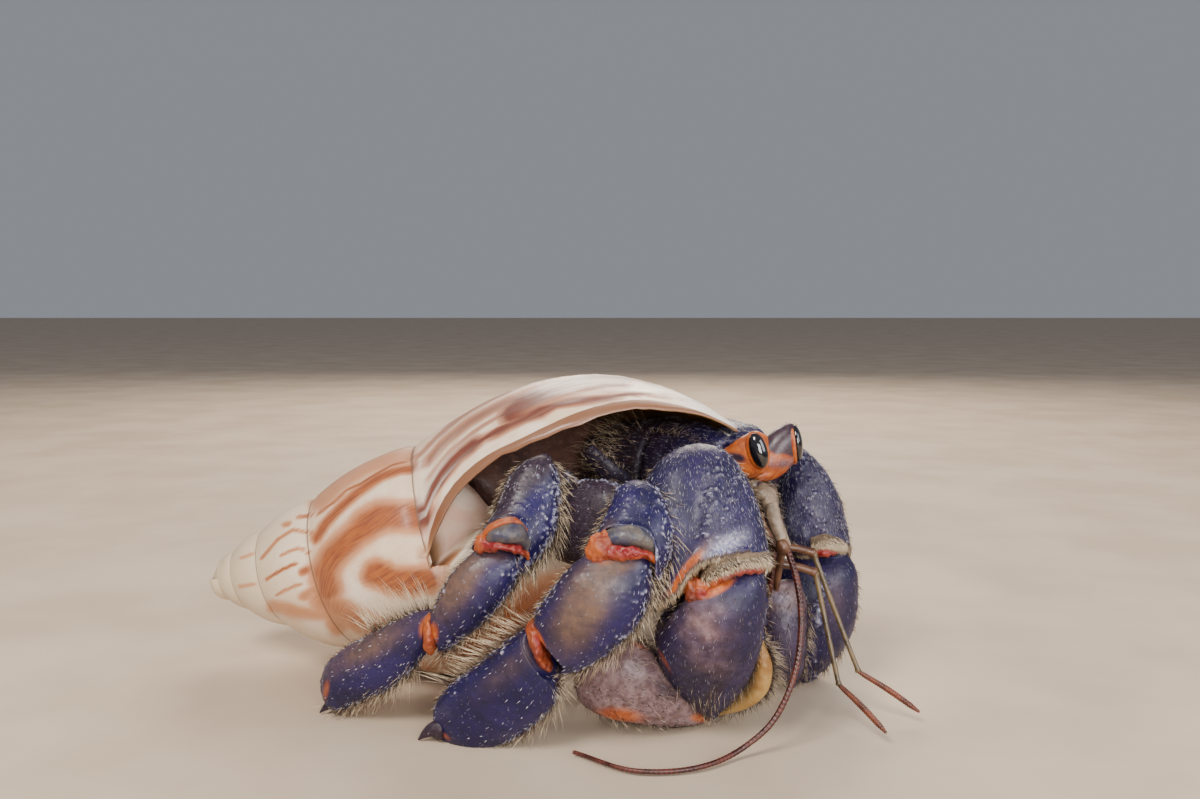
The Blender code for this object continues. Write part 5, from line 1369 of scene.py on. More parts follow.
def leg_hairs(skin, part, seed, region, dense=1.0, long=1.0):
    """Flecks and bristles of the walking legs."""
    coat, specks = coat_of(region), coat_of(region, "fleck")
    lower, upper, under = crest(skin, 0.0, 0.34, 0.04), crest(skin, math.pi, 0.3, 0.04), crest(skin, -0.45, 0.45, 0.04)
    face = smoothstep(skin.t / 0.08)
    if part == "merus":
        plant(skin, specks, 1100 * dense, seed, face, 0.20, 0.024, 0.85, 0.08, tone=(0.0, 0.45), rings=1)
        plant(skin, coat, 260 * dense, seed + 1, face, 0.5, 0.020, 0.6, 0.2, tone=(0.1, 0.7))
        return
    many = dense * (1.9 if part == "carpus" else 1.0)
    short = 0.85 if part == "carpus" else 0.6
    open_face = face * (1 - 0.75 * skin.mask[..., TAN_PATCH] - 0.9 * skin.mask[..., ORANGE_JOINT])
    plant(skin, specks, 110 * many, seed, open_face, 0.22, 0.046, 0.8, 0.10, tone=(0.3, 0.95), even=0.6)
    plant(skin, specks, 380 * many, seed + 1, open_face, 0.14, 0.026, 0.8, 0.1, tone=(0.0, 0.5), rings=1)
    plant(skin, specks, 380 * dense, seed + 2, lower + 0.4 * upper, 0.24, 0.046, 0.7, 0.14, tone=(0.2, 1.0), even=0.6)
    plant(skin, coat, 310 * dense, seed + 3, under + 0.5 * lower, 1.8 * long, 0.035, 0.5, 0.13, 0.25, 0.05,
          (0.5, 1.0), 3, 0.5)
    plant(skin, coat, 230 * dense, seed + 4, lower, 0.95 * long, 0.030, 0.5, 0.15, 0.2, 0.0, (0.4, 1.0), 3, 0.5)
    plant(skin, coat, 150 * dense, seed + 5, upper, short * long, 0.028, 0.5, 0.16, 0.25, 0.0, (0.1, 0.9), 3, 0.55)
    plant(skin, coat, 110 * dense, seed + 6, open_face, 0.30, 0.018, 0.7, 0.12, tone=(0.0, 0.6))
    if skin.name in TUFTS:
        count, turn, width, stop, *form = TUFTS[skin.name]
        plant(skin, coat, count, seed + 7, crest(skin, math.pi + turn, width, 0.0, stop), *form)


# Ways to mottle a patch: plain share, share of noise
EVEN = (0.92, 0.14)
GRAINY = (0.7, 0.8)
ROUGH = (0.6, 0.9)

# Colour patches in the photograph's pixels: channel, strength, (x, y, half length, half width, angle), mottle
PATCHES = {
    "leg3_right_carpus": ((2, 0.2, (540, 520, 34, 14, 110), GRAINY), (0, 0.5, (505, 512, 22, 9, 130)),
                          (1, 0.9, (480, 542, 12, 6, 125)), (0, 0.5, (478, 552, 8, 6, 120))),
    # the pale patch at (510, 562), where the propodus leaves the joint, is a painted highlight
    "leg3_right_propodus": ((0, 1.2, (459, 580, 46, 19, 122), EVEN), (0, 0.5, (500, 556, 14, 9, 10)),
                            (2, 0.6, (510, 562, 9, 13, 30), (0.7, 0.7)), (1, 0.8, (433, 634, 7, 15, 0))),
    "leg3_right_dactyl": ((0, 0.85, (372, 645, 60, 16, 150), EVEN), (1, 0.75, (424, 628, 7, 14, 10)),
                          (1, 0.6, (326, 690, 5, 16, 10)), (2, 0.25, (405, 650, 14, 10, 150), GRAINY)),
    "leg2_right_carpus": ((2, 0.2, (645, 512, 22, 14, 30), GRAINY), (1, 1.2, (600, 552, 17, 12, 60)),
                          (0, 0.55, (608, 528, 14, 8, 120))),
    "leg2_right_propodus": ((0, 1.3, (585, 603, 54, 25, 116), EVEN), (0, 0.6, (622, 566, 20, 8, -10)),
                            (1, 0.9, (538, 640, 6, 20, -25)), (1, 0.5, (606, 563, 16, 4, -12))),
    "leg2_right_dactyl": ((0, 0.45, (505, 672, 44, 16, 140), EVEN), (0, 0.7, (534, 650, 16, 9, 60)),
                          (1, 0.8, (537, 640, 6, 18, -25)), (1, 0.55, (444, 735, 14, 4, 40)),
                          (2, 0.2, (445, 712, 12, 12, 0))),
    "claw_right_carpus": ((2, 0.22, (714, 512, 44, 12, 100), ROUGH), (2, 0.72, (730, 543, 24, 11, 150)),
                          (2, 0.3, (712, 556, 26, 8, 140)), (1, 1.2, (686, 574, 30, 7, 125)),
                          (0, 0.7, (698, 558, 30, 9, 130)), (0, 0.8, (668, 598, 14, 14, 0)),
                          (1, 0.9, (683, 608, 9, 9, 0))),
    "claw_right_palm": ((0, 0.9, (704, 630, 50, 30, 70), (0.8, 0.4)), (3, 0.45, (738, 622, 34, 12, 95)),
                        (3, 0.7, (715, 690, 26, 9, 130)), (1, 1.0, (718, 588, 22, 7, -30)),
                        (1, 0.55, (664, 660, 24, 4, 60))),
    "claw_right_finger": ((1, 0.75, (620, 716, 34, 12, 5)), (1, 0.8, (700, 718, 14, 6, 0)),
                          (1, 0.5, (640, 646, 18, 6, 20)), (3, 0.6, (668, 690, 26, 12, 30))),
    "claw_left_carpus": ((2, 0.5, (800, 500, 42, 4, 78), ROUGH), (2, 0.4, (792, 520, 30, 12, 80))),
    "claw_left_palm": ((0, 0.35, (835, 600, 40, 14, 90)), (2, 0.4, (818, 620, 60, 4, 97), ROUGH)),
    "claw_left_finger": ((0, 0.9, (782, 596, 22, 12, 0)), (2, 0.55, (778, 598, 18, 9, 0)),
                         (2, 0.25, (786, 640, 14, 34, 0))),
}


def paint_patches(skin, patches, noise=0.0):
    for channel, strength, patch, *mottles in patches:
        amount = strength * skin.spot(*patch)
        for plain, share in mottles:
            amount = amount * (plain + share * noise)
        skin.paint(channel, amount)


def right_leg_marks(skin):
    """Colour patches of the two legs on the near side, where the photograph shows them."""
    if skin.name == "leg3_right_carpus":
        skin.paint(DARK, 0.92 * skin.beside(492, 524, 556, 470, 12))
    if skin.name == "leg2_right_merus":
        skin.paint(DARK, 0.85)
    paint_patches(skin, PATCHES.get(skin.name, ()), noise3(skin.grid, 1.2, 77))


# Soft parts in the joints: name, finish, stations, depth, half thickness, lumps, (channel, strength, patch)
LEG_FOLDS = (
    ("leg3_lip", "lip", ((0, 489, 544, 488, 536), (0.3, 495, 545, 497, 526), (0.6, 509, 544, 512, 522),
                         (0.85, 520, 547, 525, 527), (1, 526, 552, 531, 541)), -25.2, 1.2, 0.05,
     ((3, 0.8, (508, 545, 22, 2.2, 4)), (0, 0.3, (490, 538, 4, 5, 0)))),
    ("leg3_arch", "soft", ((0, 483, 549, 477, 545), (0.2, 490, 536, 484, 530), (0.5, 502, 526, 500, 519),
                           (0.8, 516, 524, 518, 519), (1, 526, 531, 528, 529)), -25.0, 0.7, 0.06,
     ((0, 0.2, (480, 545, 6, 6, 0)),)),
    ("leg3_fold", "soft", ((0, 474, 552, 478, 536), (0.2, 486, 553, 488, 537), (0.5, 503, 550, 504, 541),
                           (0.8, 519, 555, 521, 546), (1, 528, 561, 530, 552)), -25.6, 0.9, 0.18,
     ((0, 0.9, (508, 545, 30, 8, 8)), (0, 0.5, (487, 546, 6, 6, 0)))),
    ("leg3_band", "soft", ((0, 428, 614, 436, 613), (0.3, 425, 624, 437, 624), (0.7, 425, 638, 438, 640),
                           (1, 428, 650, 436, 652)), -22.9, 1.7, 0.18, ((0, 0.5, (432, 634, 5, 10, 0)),)),
    ("leg2_lip", "lip", ((0, 603, 545, 602, 533), (0.25, 612, 547, 614, 527), (0.5, 628, 547, 631, 524),
                         (0.75, 643, 550, 647, 530), (1, 656, 560, 661, 544)), -28.9, 1.2, 0.05,
     ((3, 0.75, (630, 546, 26, 2.5, 5)), (3, 0.4, (604, 535, 5, 7, 0)))),
    ("leg2_fold", "soft", ((0, 594, 562, 592, 548), (0.2, 606, 562, 606, 545), (0.5, 624, 559, 626, 544),
                           (0.8, 643, 558, 645, 548), (1, 654, 563, 655, 555)), -29.5, 0.9, 0.22,
     ((0, 1.0, (628, 551, 30, 9, 2)),)),
    ("leg2_lobe", "soft", ((0, 588, 560, 590, 543), (0.35, 595, 567, 598, 531), (0.7, 606, 566, 609, 533),
                           (1, 615, 560, 616, 541)), -28.9, 1.2, 0.18, ((0, 0.5, (607, 549, 8, 7, 0)),)),
    ("leg2_band", "soft", ((0, 527, 624, 536, 617), (0.3, 528, 635, 542, 632), (0.7, 535, 654, 548, 650),
                           (1, 546, 669, 553, 664)), -28.2, 1.9, 0.20, ((0, 0.7, (538, 642, 6, 14, -20)),)),
)
CLAW_FOLDS = (
    ("claw_right_lip", "comb", ((0, 700, 588, 697, 578), (0.25, 712, 578, 708, 564), (0.6, 735, 567, 732, 553),
                               (1, 768, 563, 768, 552)), -28.2, 1.3, 0.05, ((3, 0.7, (738, 564, 34, 2.2, -16)),)),
    ("claw_right_fold", "soft", ((0, 704, 596, 698, 582), (0.3, 720, 582, 716, 571), (0.6, 739, 574, 737, 564),
                                 (1, 764, 573, 764, 563)), -28.5, 1.1, 0.18,
     ((0, 1.0, (742, 569, 34, 8, -15)),)),
    ("claw_right_lobe", "soft", ((0, 683, 594, 686, 579), (0.3, 690, 603, 695, 577), (0.7, 703, 604, 706, 582),
                                 (1, 715, 599, 714, 588)), -28.3, 0.9, 0.30,
     ((0, 0.9, (703, 594, 9, 6, 30)), (3, 0.7, (697, 601, 12, 3, 30)), (3, 0.5, (693, 586, 3, 9, 20)))),
    ("claw_left_lip", "comb", ((0, 812, 549, 811, 537), (0.5, 826, 547, 827, 534), (1, 842, 550, 843, 540)), -12.5, 1.1,
     0.04, ((3, 0.6, (828, 547, 16, 2, 0)),)),
    ("claw_left_fold", "soft", ((0, 812, 558, 812, 546), (0.5, 824, 556, 826, 545), (1, 838, 553, 839, 547)), -12.9,
     1.0, 0.18, ((0, 1.0, (824, 551, 16, 6, 0)),)),
)


def joint_folds(folds):
    """Soft membranes, lips and combs in the joints."""
    coat = coat_of("folds", slot="orange_cuticle")
    for i, (name, finish, stations, depth, thick, lumps, patches) in enumerate(folds):
        skin = outlined(name, stations, ((0, depth + 0.5), (0.5, depth), (1, depth + 0.5)),
                        ((0, 0.4 * thick), (0.25, thick), (0.75, thick), (1, 0.4 * thick)), 70, 60, 2.0)
        ridges = noise3(skin.grid * (2.4, 1.0, 1.0), 1.1, 130 + i) + 0.6 * noise3(skin.grid, 0.35, 150 + i)
        skin.push(lumps * ridges)
        paint_patches(skin, patches)
        finish_skin(skin, {"lip": LIP, "comb": COMB, "soft": MEMBRANE}[finish], "orange_cuticle", (0.1, 0.1), ())
        if finish == "comb":
            face = bump(turn_gap(skin.a, 0.62 * math.pi), 0.0, 0.75) * smoothstep(skin.t / 0.05)
            plant(skin, coat, 900, 190 + i, face, 0.62, 0.030, 0.3, 0.06, tone=(0.8, 1.2), even=0.25,
                  pull=(0.1, -0.5, -0.9))
        if finish == "lip":
            low = bump(turn_gap(skin.a, math.pi - 0.45), 0.0, 0.22) * smoothstep(skin.t / 0.05)
            plant(skin, coat, 230, 170 + i, low, 0.42, 0.026, 0.1, 0.08, tone=(0.6, 1.0), even=0.25,
                  pull=(0.0, -0.2, -0.9))


def claw_tip(name, start, end, radius):
    """The dark horny point of a walking leg."""
    start, end = np.asarray(start, float), np.asarray(end, float)
    t = np.linspace(0, 1, 30)
    path = start + (end - start) * t[:, None] + UP * (0.35 * np.sin(math.pi * t))[:, None]
    along = unit(np.gradient(path, axis=0))
    size = radius * (1 - 0.93 * t**1.3)
    skin = Skin(name, path, across_path(UP, along) * size[:, None], size * 0.8, along, 28, 2.0)
    skin.paint(DARK, 1.0)
    finish_skin(skin, PURPLE, "purple_cuticle", (0.4, 0.03), ())


# Far ends: notch (depth, angle, width) and how far both ends bulge out or go in, in mm
RIGHT_NOTCHES = {"leg3_right_carpus": (0.27, 2.03, 0.80), "leg2_right_carpus": (0.37, 1.92, 0.98)}
RIGHT_DOMES = {"merus": (0.35, 0.35), "carpus": (0.1, -1.6), "propodus": (0.5, -0.8), "dactyl": (0.3, 0.25)}
LEFT_DOMES = {"merus": (0.4, 0.4), "carpus": (0.4, -1.0), "propodus": (0.5, -0.7), "dactyl": (0.4, 0.1)}


def build_right_legs():
    hip, knee, _ = LEG3_RIGHT
    dirs = joint_dirs(LEG3_RIGHT)
    for leg, seed in (("leg3_right", 100), ("leg2_right", 200)):
        for i, part in enumerate(LEG_SEGMENTS):
            name = leg + "_" + part
            if name in LEG_SHAPES:
                skin = outlined(name, *LEG_SHAPES[name], 120, 120, 2.5)
            else:
                skin = segment(name, hip, np.add(knee, (0.3, 1.6, -2.6)), dirs[0], dirs[1], (0.8, -0.3, 0.5),
                               scaled(LEG3_SIZES[0], 0.9), 70, 80)
            leg_dress(skin, part, seed + 10 * i)
            right_leg_marks(skin)
            if part == "carpus":
                skin.notch(*RIGHT_NOTCHES[name])
                skin.push(0.16 * bump(skin.t, 0.97, 0.035))
                skin.paint(PALE_RIM_AND_HIGHLIGHT, 0.3 * bump(skin.t, 0.985, 0.02))
            elif part == "propodus":
                skin.notch(0.07, 0.5 * math.pi, 1.0)
            finish_limb(skin, part, RIGHT_DOMES[part])
            leg_hairs(skin, part, seed + 500 + 10 * i, leg)
    joint_folds(LEG_FOLDS)
    claw_tip("leg3_point", (-25.6, -18.2, 1.6), (-28.1, -17.9, 0.15), 0.95)
    claw_tip("leg2_point", (-14.9, -24.6, 1.2), (-17.1, -24.5, 0.15), 1.0)


def left_fold(name, place, direction, broad, size, seed):
    """The soft ring between two segments of a left leg."""
    run = 2 * np.linspace(0.02, 0.98, 30) - 1
    width = np.sqrt(1 - run ** 2)
    along = np.tile(unit(direction), (30, 1))
    fold = Skin(name, np.asarray(place) + unit(direction) * (run * 1.5)[:, None],
                across_path(broad, along) * (size[0] * 1.06 * width)[:, None], size[1] * 1.1 * width, along, 48, 2.0)
    fold.push(0.14 * noise3(fold.grid, 0.9, seed))
    finish_skin(fold, MEMBRANE, "orange_cuticle", (0.02, 0.02), ())


def build_left_legs():
    broad = (-0.3, -0.6, 0.75)
    for leg, points, sizes, seed in (("leg2_left", LEG2_LEFT, LEG2_SIZES, 300),
                                     ("leg3_left", LEG3_LEFT, LEG3_SIZES, 400)):
        dirs = joint_dirs(points, (-0.5, 0.1, -0.9))
        for i, part in enumerate(LEG_SEGMENTS):
            size = scaled(sizes[i], 0.85)
            skin = segment(leg + "_" + part, points[i], points[i + 1], dirs[i], dirs[i + 1], broad, size, 80, 84)
            leg_dress(skin, part, seed + 10 * i)
            if part == "merus":
                skin.paint(DARK, 0.85)
            else:
                skin.paint(TAN_PATCH, 0.7 * bump(turn_gap(skin.a, 1.5 * math.pi), 0.0, 0.7)
                           * bump(skin.t, 0.35, 0.3) * (0.8 + 0.4 * noise3(skin.grid, 1.2, 78)))
                skin.paint(ORANGE_JOINT, 0.6 * bump(skin.t, 0.0, 0.05))
            if part == "carpus":
                skin.notch(0.22, 1.5 * math.pi, 1.0)
                skin.push(0.12 * bump(skin.t, 0.97, 0.035))
            elif part == "propodus":
                skin.notch(0.10, 1.5 * math.pi, 1.0)
            elif part == "dactyl":
                skin.paint(DARK, smoothstep((skin.t - 0.93) / 0.05))
            finish_limb(skin, part, LEFT_DOMES[part])
            leg_hairs(skin, part, seed + 700 + 10 * i, leg, 0.75, 0.9)
            if part != "merus":
                left_fold(leg + "_fold_" + part, points[i], dirs[i], broad, size[0][1:], seed + i)


# Claws

ACROSS = {"right": (0.95, 0.1, -0.2), "left": (0.3, 0.95, 0.0)}
MERUS_SIZES = ((0, 2.6, 2.2), (0.5, 3.4, 2.8), (1, 3.0, 2.6))
CLAW_SHAPES = {
    "claw_right_carpus": (
        ((0, 682, 458, 712, 455), (0.08, 664, 463, 730, 462), (0.25, 646, 482, 748, 484), (0.45, 641, 508, 758, 510),
         (0.65, 644, 538, 764, 532), (0.82, 650, 568, 768, 548), (1, 658, 606, 770, 566)),
        ((0, -19.8), (0.4, -22.8), (1, -25.8)), ((0, 1.6), (0.1, 2.8), (0.4, 3.8), (0.85, 3.9), (1, 3.5))),
    "claw_right_palm": (
        ((0, 704, 584, 754, 563), (0.07, 692, 592, 762, 572), (0.25, 672, 612, 766, 598), (0.45, 656, 634, 763, 626),
         (0.65, 660, 660, 757, 652), (0.82, 676, 688, 744, 680), (0.94, 694, 706, 726, 702), (1, 708, 713, 716, 712)),
        ((0, -26.0), (0.3, -26.6), (0.6, -24.6), (1, -20.4)),
        ((0, 2.2), (0.1, 3.0), (0.45, 3.6), (0.8, 2.5), (1, 0.8))),
    "claw_right_finger": (
        ((0, 578, 688, 580, 672), (0.08, 582, 700, 587, 656), (0.25, 602, 714, 610, 643), (0.45, 632, 721, 640, 640),
         (0.65, 662, 724, 668, 664), (0.85, 692, 723, 694, 698), (1, 712, 719, 712, 714)),
        ((0, -22.6), (0.4, -23.2), (1, -19.4)), ((0, 0.9), (0.12, 1.9), (0.4, 2.7), (0.75, 2.1), (1, 0.5))),
    "claw_left_carpus": (
        ((0, 789, 451, 802, 448), (0.08, 784, 456, 812, 457), (0.25, 779, 472, 827, 476), (0.45, 776, 494, 838, 499),
         (0.65, 777, 518, 844, 521), (0.85, 783, 542, 848, 541), (1, 794, 556, 848, 556)),
        ((0, -5.8), (0.4, -6.8), (1, -8.6)), ((0, 1.4), (0.1, 2.6), (0.4, 3.8), (0.85, 3.9), (1, 3.4))),
    "claw_left_palm": (
        ((0, 790, 560, 846, 552), (0.08, 778, 564, 852, 562), (0.3, 764, 586, 857, 588), (0.5, 760, 612, 855, 614),
         (0.7, 765, 640, 846, 638), (0.87, 777, 664, 830, 660), (1, 792, 684, 806, 682)),
        ((0, -8.8), (0.4, -9.0), (1, -8.0)), ((0, 2.6), (0.1, 3.6), (0.45, 4.3), (0.8, 3.1), (1, 0.8))),
    "claw_left_finger": (
        ((0, 768, 586, 800, 582), (0.12, 761, 598, 805, 596), (0.45, 759, 630, 806, 632), (0.75, 768, 660, 803, 664),
         (1, 784, 684, 796, 686)),
        ((0, -12.6), (0.5, -13.2), (1, -11.6)), ((0, 1.0), (0.2, 1.8), (0.6, 1.9), (1, 0.5))),
}


def claw_marks(skin):
    name = skin.name
    noise = noise3(skin.grid, 1.2, 79)
    if name == "claw_right_carpus":
        skin.push(0.42 * skin.spot(714, 508, 44, 8, 100) - 0.30 * skin.spot(690, 520, 50, 12, 100)
                  - 0.25 * skin.spot(738, 505, 44, 9, 100))
    paint_patches(skin, PATCHES[name], noise)
    if name == "claw_right_carpus":
        rows = np.clip(1.6 * (skin.spot(712, 500, 46, 4, 100) + skin.spot(727, 512, 44, 3, 104)
                              + skin.spot(700, 520, 30, 3, 100)), 0, 1)
        skin.paint(PALE_RIM_AND_HIGHLIGHT, 2.4 * skin.bumps(1500, 0.13, 0.26, 812, rows))
        paint_patches(skin, ((DARK, 0.35, (706, 500, 46, 3, 100)), (DARK, 0.35, (721, 510, 44, 2.5, 104))))
    elif name == "claw_right_palm":
        edge = crest(skin, 0.0, 0.4, 0.05)
        skin.paint(PALE_RIM_AND_HIGHLIGHT, 0.5 * edge * (0.55 + 0.8 * noise))
        skin.bumps(260, 0.2, 0.22, 813, edge)
    elif name == "claw_right_finger":
        skin.paint(TAN_PATCH, 0.95 * (0.92 + 0.14 * noise))
    elif name == "claw_left_carpus":
        skin.paint(DARK, 0.35 * skin.beside(806, 448, 812, 560, 4))
        rows = np.clip(1.4 * skin.spot(812, 500, 55, 6, 76), 0, 1)
        skin.paint(PALE_RIM_AND_HIGHLIGHT, 2.6 * skin.bumps(700, 0.15, 0.2, 815, rows))
    elif name == "claw_left_palm":
        rows = np.clip(1.4 * skin.spot(818, 620, 62, 7, 97), 0, 1)
        skin.paint(PALE_RIM_AND_HIGHLIGHT, 2.4 * skin.bumps(700, 0.16, 0.22, 816, rows))
    elif name == "claw_left_finger":
        skin.paint(TAN_PATCH, 0.3)


CLAW_NOTCHES = {"right": (0.15, 0.42 * math.pi, 0.75), "left": (0.10, 0.35 * math.pi, 0.8)}
CLAW_DOMES = {"carpus": (0.3, -1.4), "palm": (0.8, 0.2), "finger": (0.5, 0.2)}
CLAW_FLECKS = {"carpus": 1900, "palm": 480, "finger": 140}


def build_claws():
    for side, points, seed, size, dense in (("right", CLAW_RIGHT, 500, 1.0, 1.0), ("left", CLAW_LEFT, 600, 0.85, 0.9)):
        name = "claw_" + side + "_"
        coat, specks = coat_of("claw_" + side), coat_of("claw_" + side, "fleck")
        dirs = joint_dirs(points)
        skin = segment(name + "merus", points[0], points[1], dirs[0], dirs[1], ACROSS[side],
                       scaled(MERUS_SIZES, size), 70, 90)
        cuticle_relief(skin, seed)
        skin.paint(DARK, 0.6)
        finish_skin(skin, PURPLE, "purple_cuticle")
        for part in ("carpus", "palm", "finger"):
            skin = outlined(name + part, *CLAW_SHAPES[name + part], 150 if part != "finger" else 110, 150)
            cuticle_relief(skin, seed + 11 * len(part), 520)
            claw_marks(skin)
            if part == "carpus":
                skin.notch(*CLAW_NOTCHES[side])
                skin.push(0.2 * bump(skin.t, 0.975, 0.03))
            finish_skin(skin, CLAW_BLUE, "orange_cuticle" if part == "finger" else "blue_cuticle", CLAW_DOMES[part])
            plain = 1 - 0.7 * skin.mask[..., TAN_PATCH] - 0.9 * skin.mask[..., ORANGE_JOINT]
            face = smoothstep(skin.t / 0.06) * np.clip(plain, 0.1, 1)
            lower, upper = crest(skin, 0.0, 0.35, 0.05), crest(skin, math.pi, 0.35, 0.05)
            many = CLAW_FLECKS[part]
            plant(skin, specks, many * dense, seed + 1, face, 0.27, 0.030, 0.88, 0.05, tone=(0.0, 0.85), even=0.5)
            plant(skin, specks, many * 0.8, seed + 2, face, 0.20, 0.022, 0.85, 0.08, tone=(0.0, 0.4), rings=1)
            plant(skin, coat, 260 * dense, seed + 3, lower + 0.6 * upper, 0.65, 0.028, 0.5, 0.18, 0.2, 0.0,
                  (0.2, 0.9), 3, 0.5)
            plant(skin, coat, 260 * dense, seed + 4, face, 0.36, 0.020, 0.7, 0.14, tone=(0.0, 0.7))
            if part == "carpus":
                plant(skin, coat, 700, seed + 5, bump(skin.t, 0.99, 0.012) * skin.front(), 0.75, 0.036, 0.95, 0.08,
                      0.1, 0.0, (0.7, 1.0), 2, 0.25)
            elif part == "palm":
                low = smoothstep((skin.t - 0.6) / 0.3)
                plant(skin, coat, 480 * dense, seed + 7, low * (lower + upper + 0.25), 1.1, 0.028, 0.5, 0.2, 0.25,
                      0.15, (0.2, 1.0), 3, 0.5)
            else:
                plant(skin, coat, 620 * dense, seed + 6, 1.1 - 0.9 * skin.front() + lower, 1.15, 0.028, 0.5, 0.2,
                      0.25, 0.2, (0.2, 1.0), 3, 0.5)
                if side == "right":
                    plant(skin, coat, 260, seed + 8, skin.front(), 0.16, 0.075, 0.1, 0.05, tone=(-1.5, -1.2), rings=1)
    joint_folds(CLAW_FOLDS)
    crescent = outlined("claw_right_edge", (
        (0, 752, 640, 760, 634), (0.3, 754, 660, 772, 664), (0.6, 747, 684, 766, 690), (0.85, 730, 701, 743, 707),
        (1, 716, 711, 720, 714)), ((0, -23.6), (0.5, -22.8), (1, -20.2)), ((0, 0.8), (0.5, 1.6), (1, 0.5)), 60, 48)
    crescent.push(0.05 * noise3(crescent.grid, 1.2, 47))
    finish_skin(crescent, HORN, "orange_cuticle", (0.3, 0.1), ())
    plant(crescent, coat_of("claw_right"), 500, 48, bump(turn_gap(crescent.a, -0.2), 0.0, 0.5), 1.3, 0.030, 0.3, 0.2,
          0.2, 0.1, (0.3, 1.0), 3, 0.5)


# Feelers

def smooth_route(points, count):
    """Evenly spaced places on a smooth line through points, and their distances along it."""
    chord = run_lengths(np.asarray(points, float))
    curve = np.stack(table([(c, *p) for c, p in zip(chord, points)], np.linspace(0, chord[-1], 600)), 1)
    length = run_lengths(curve)
    at = np.linspace(0, length[-1], count)
    return np.stack([np.interp(at, length, curve[:, k]) for k in range(3)], 1), at


def tube(name, points, radii, mat, slot, nodes, sides, run=None):
    """A round feeler through closely spaced points."""
    dirs = unit(np.gradient(points, axis=0))
    broad = across_path((0.3, 0.9, 0.2), dirs)
    thin = np.cross(dirs, broad)
    angles = np.arange(sides) * TURN / sides
    grid = (points[:, None] + radii[:, None, None] * (np.cos(angles)[None, :, None] * broad[:, None]
                                                       + np.sin(angles)[None, :, None] * thin[:, None]))
    n = len(points)
    flat = np.concatenate([grid.reshape(-1, 3), [points[0] - dirs[0] * radii[0] * 0.5,
                                                 points[-1] + dirs[-1] * radii[-1] * 0.5]])
    flat[:, 2] = np.maximum(flat[:, 2], FLOOR_GAP)
    if run is None:
        run = run_lengths(points)
    length = np.concatenate([np.repeat(run, sides), [run[0], run[-1]]])
    obj = new_mesh(name, flat, [grid_faces(n, sides), end_fans(n, sides)], mat, point_data={"length": length})
    return settle(obj, slot, *nodes)


def build_feelers():
    for side, route in (("right", FLAGELLUM_RIGHT), ("left", FLAGELLUM_LEFT)):
        points, run = smooth_route(route, 900)
        bead = 0.42
        phase = (run % bead) / bead
        radii = np.interp(run, [0, run[-1]], [0.36, 0.20]) * (0.84 + 0.12 * np.sin(math.pi * phase) ** 0.7)
        tube("flagellum_" + side, points, radii, FEELER, "feeler", ("antenna_" + side + "_flagellum",), 14, run=run)
    for side, points in (("right", ANTENNULE_RIGHT), ("left", ANTENNULE_LEFT)):
        root, bend, wrist, elbow, knee, tip = (np.array(p, float) for p in points)
        node = ("antennule_" + side + "_stalk",)
        route, run = smooth_route([root, bend, wrist], 60)
        tube("antennule_root_" + side, route, np.full(60, 0.42), FEELER_BASE, "feeler", node, 16)
        t = np.linspace(0, 1, 60)
        arm = wrist + (elbow - wrist) * t[:, None] + UP * (0.25 * np.sin(math.pi * t))[:, None]
        size = 0.40 + 0.08 * bump(t, 0.06, 0.10) + 0.10 * bump(t, 0.96, 0.07)
        tube("antennule_arm_" + side, arm, size, FEELER_BASE, "feeler", (), 20)
        stalk = elbow + (knee - elbow) * t[:, None] - UP * (0.12 * np.sin(math.pi * t))[:, None]
        size = 0.27 - 0.03 * t + 0.10 * bump(t, 0.0, 0.04) + 0.09 * bump(t, 1.0, 0.022)
        tube("antennule_stalk_" + side, stalk, size, OLIVE, "feeler", (), 16)
        route, run = smooth_route([knee, knee + (tip - knee) * 0.5 + UP * 0.15, tip], 300)
        size = np.interp(run / run[-1], [0, 0.1, 0.5, 0.85, 1], [0.20, 0.27, 0.33, 0.30, 0.14])
        size = size * (0.94 + 0.08 * np.sin(TURN * run / 0.24))
        tube("antennule_lash_" + side, route, size, LASH, "orange_cuticle", ("antennule_" + side + "_lash",), 16)


ANTENNA_SIZE = ((0.8, 0.75), (0.85, 0.8), (0.7, 0.65), (0.5, 0.5))
MAXILLIPED_SIZE = ((0.85, 0.8), (0.85, 0.75), (0.5, 0.45))
LEG4_SIZE = ((1.1, 0.8), (1.3, 0.85), (0.9, 0.6))

# Eyestalks in the photograph's pixels: place along, lower edge, upper edge
STALKS = {
    "right": (((0, 722, 463, 724, 452), (0.3, 730, 472, 733, 444), (0.6, 741, 477, 745, 435),
               (0.85, 753, 478, 757, 431), (1, 763, 474, 766, 435)),
              ((0, -13.2), (0.5, -15.0), (1, -16.2)), ((0, 0.8), (0.5, 1.35), (1, 1.2))),
    "left": (((0, 757, 480, 762, 448), (0.3, 766, 481, 770, 435), (0.6, 778, 477, 780, 427),
              (0.85, 788, 469, 790, 423), (1, 794, 461, 796, 426)),
             ((0, -12.6), (0.5, -12.0), (1, -11.8)), ((0, 1.1), (0.5, 1.5), (1, 1.3)))}


HEAD_COAT = coat_of("head", slot="orange_cuticle")


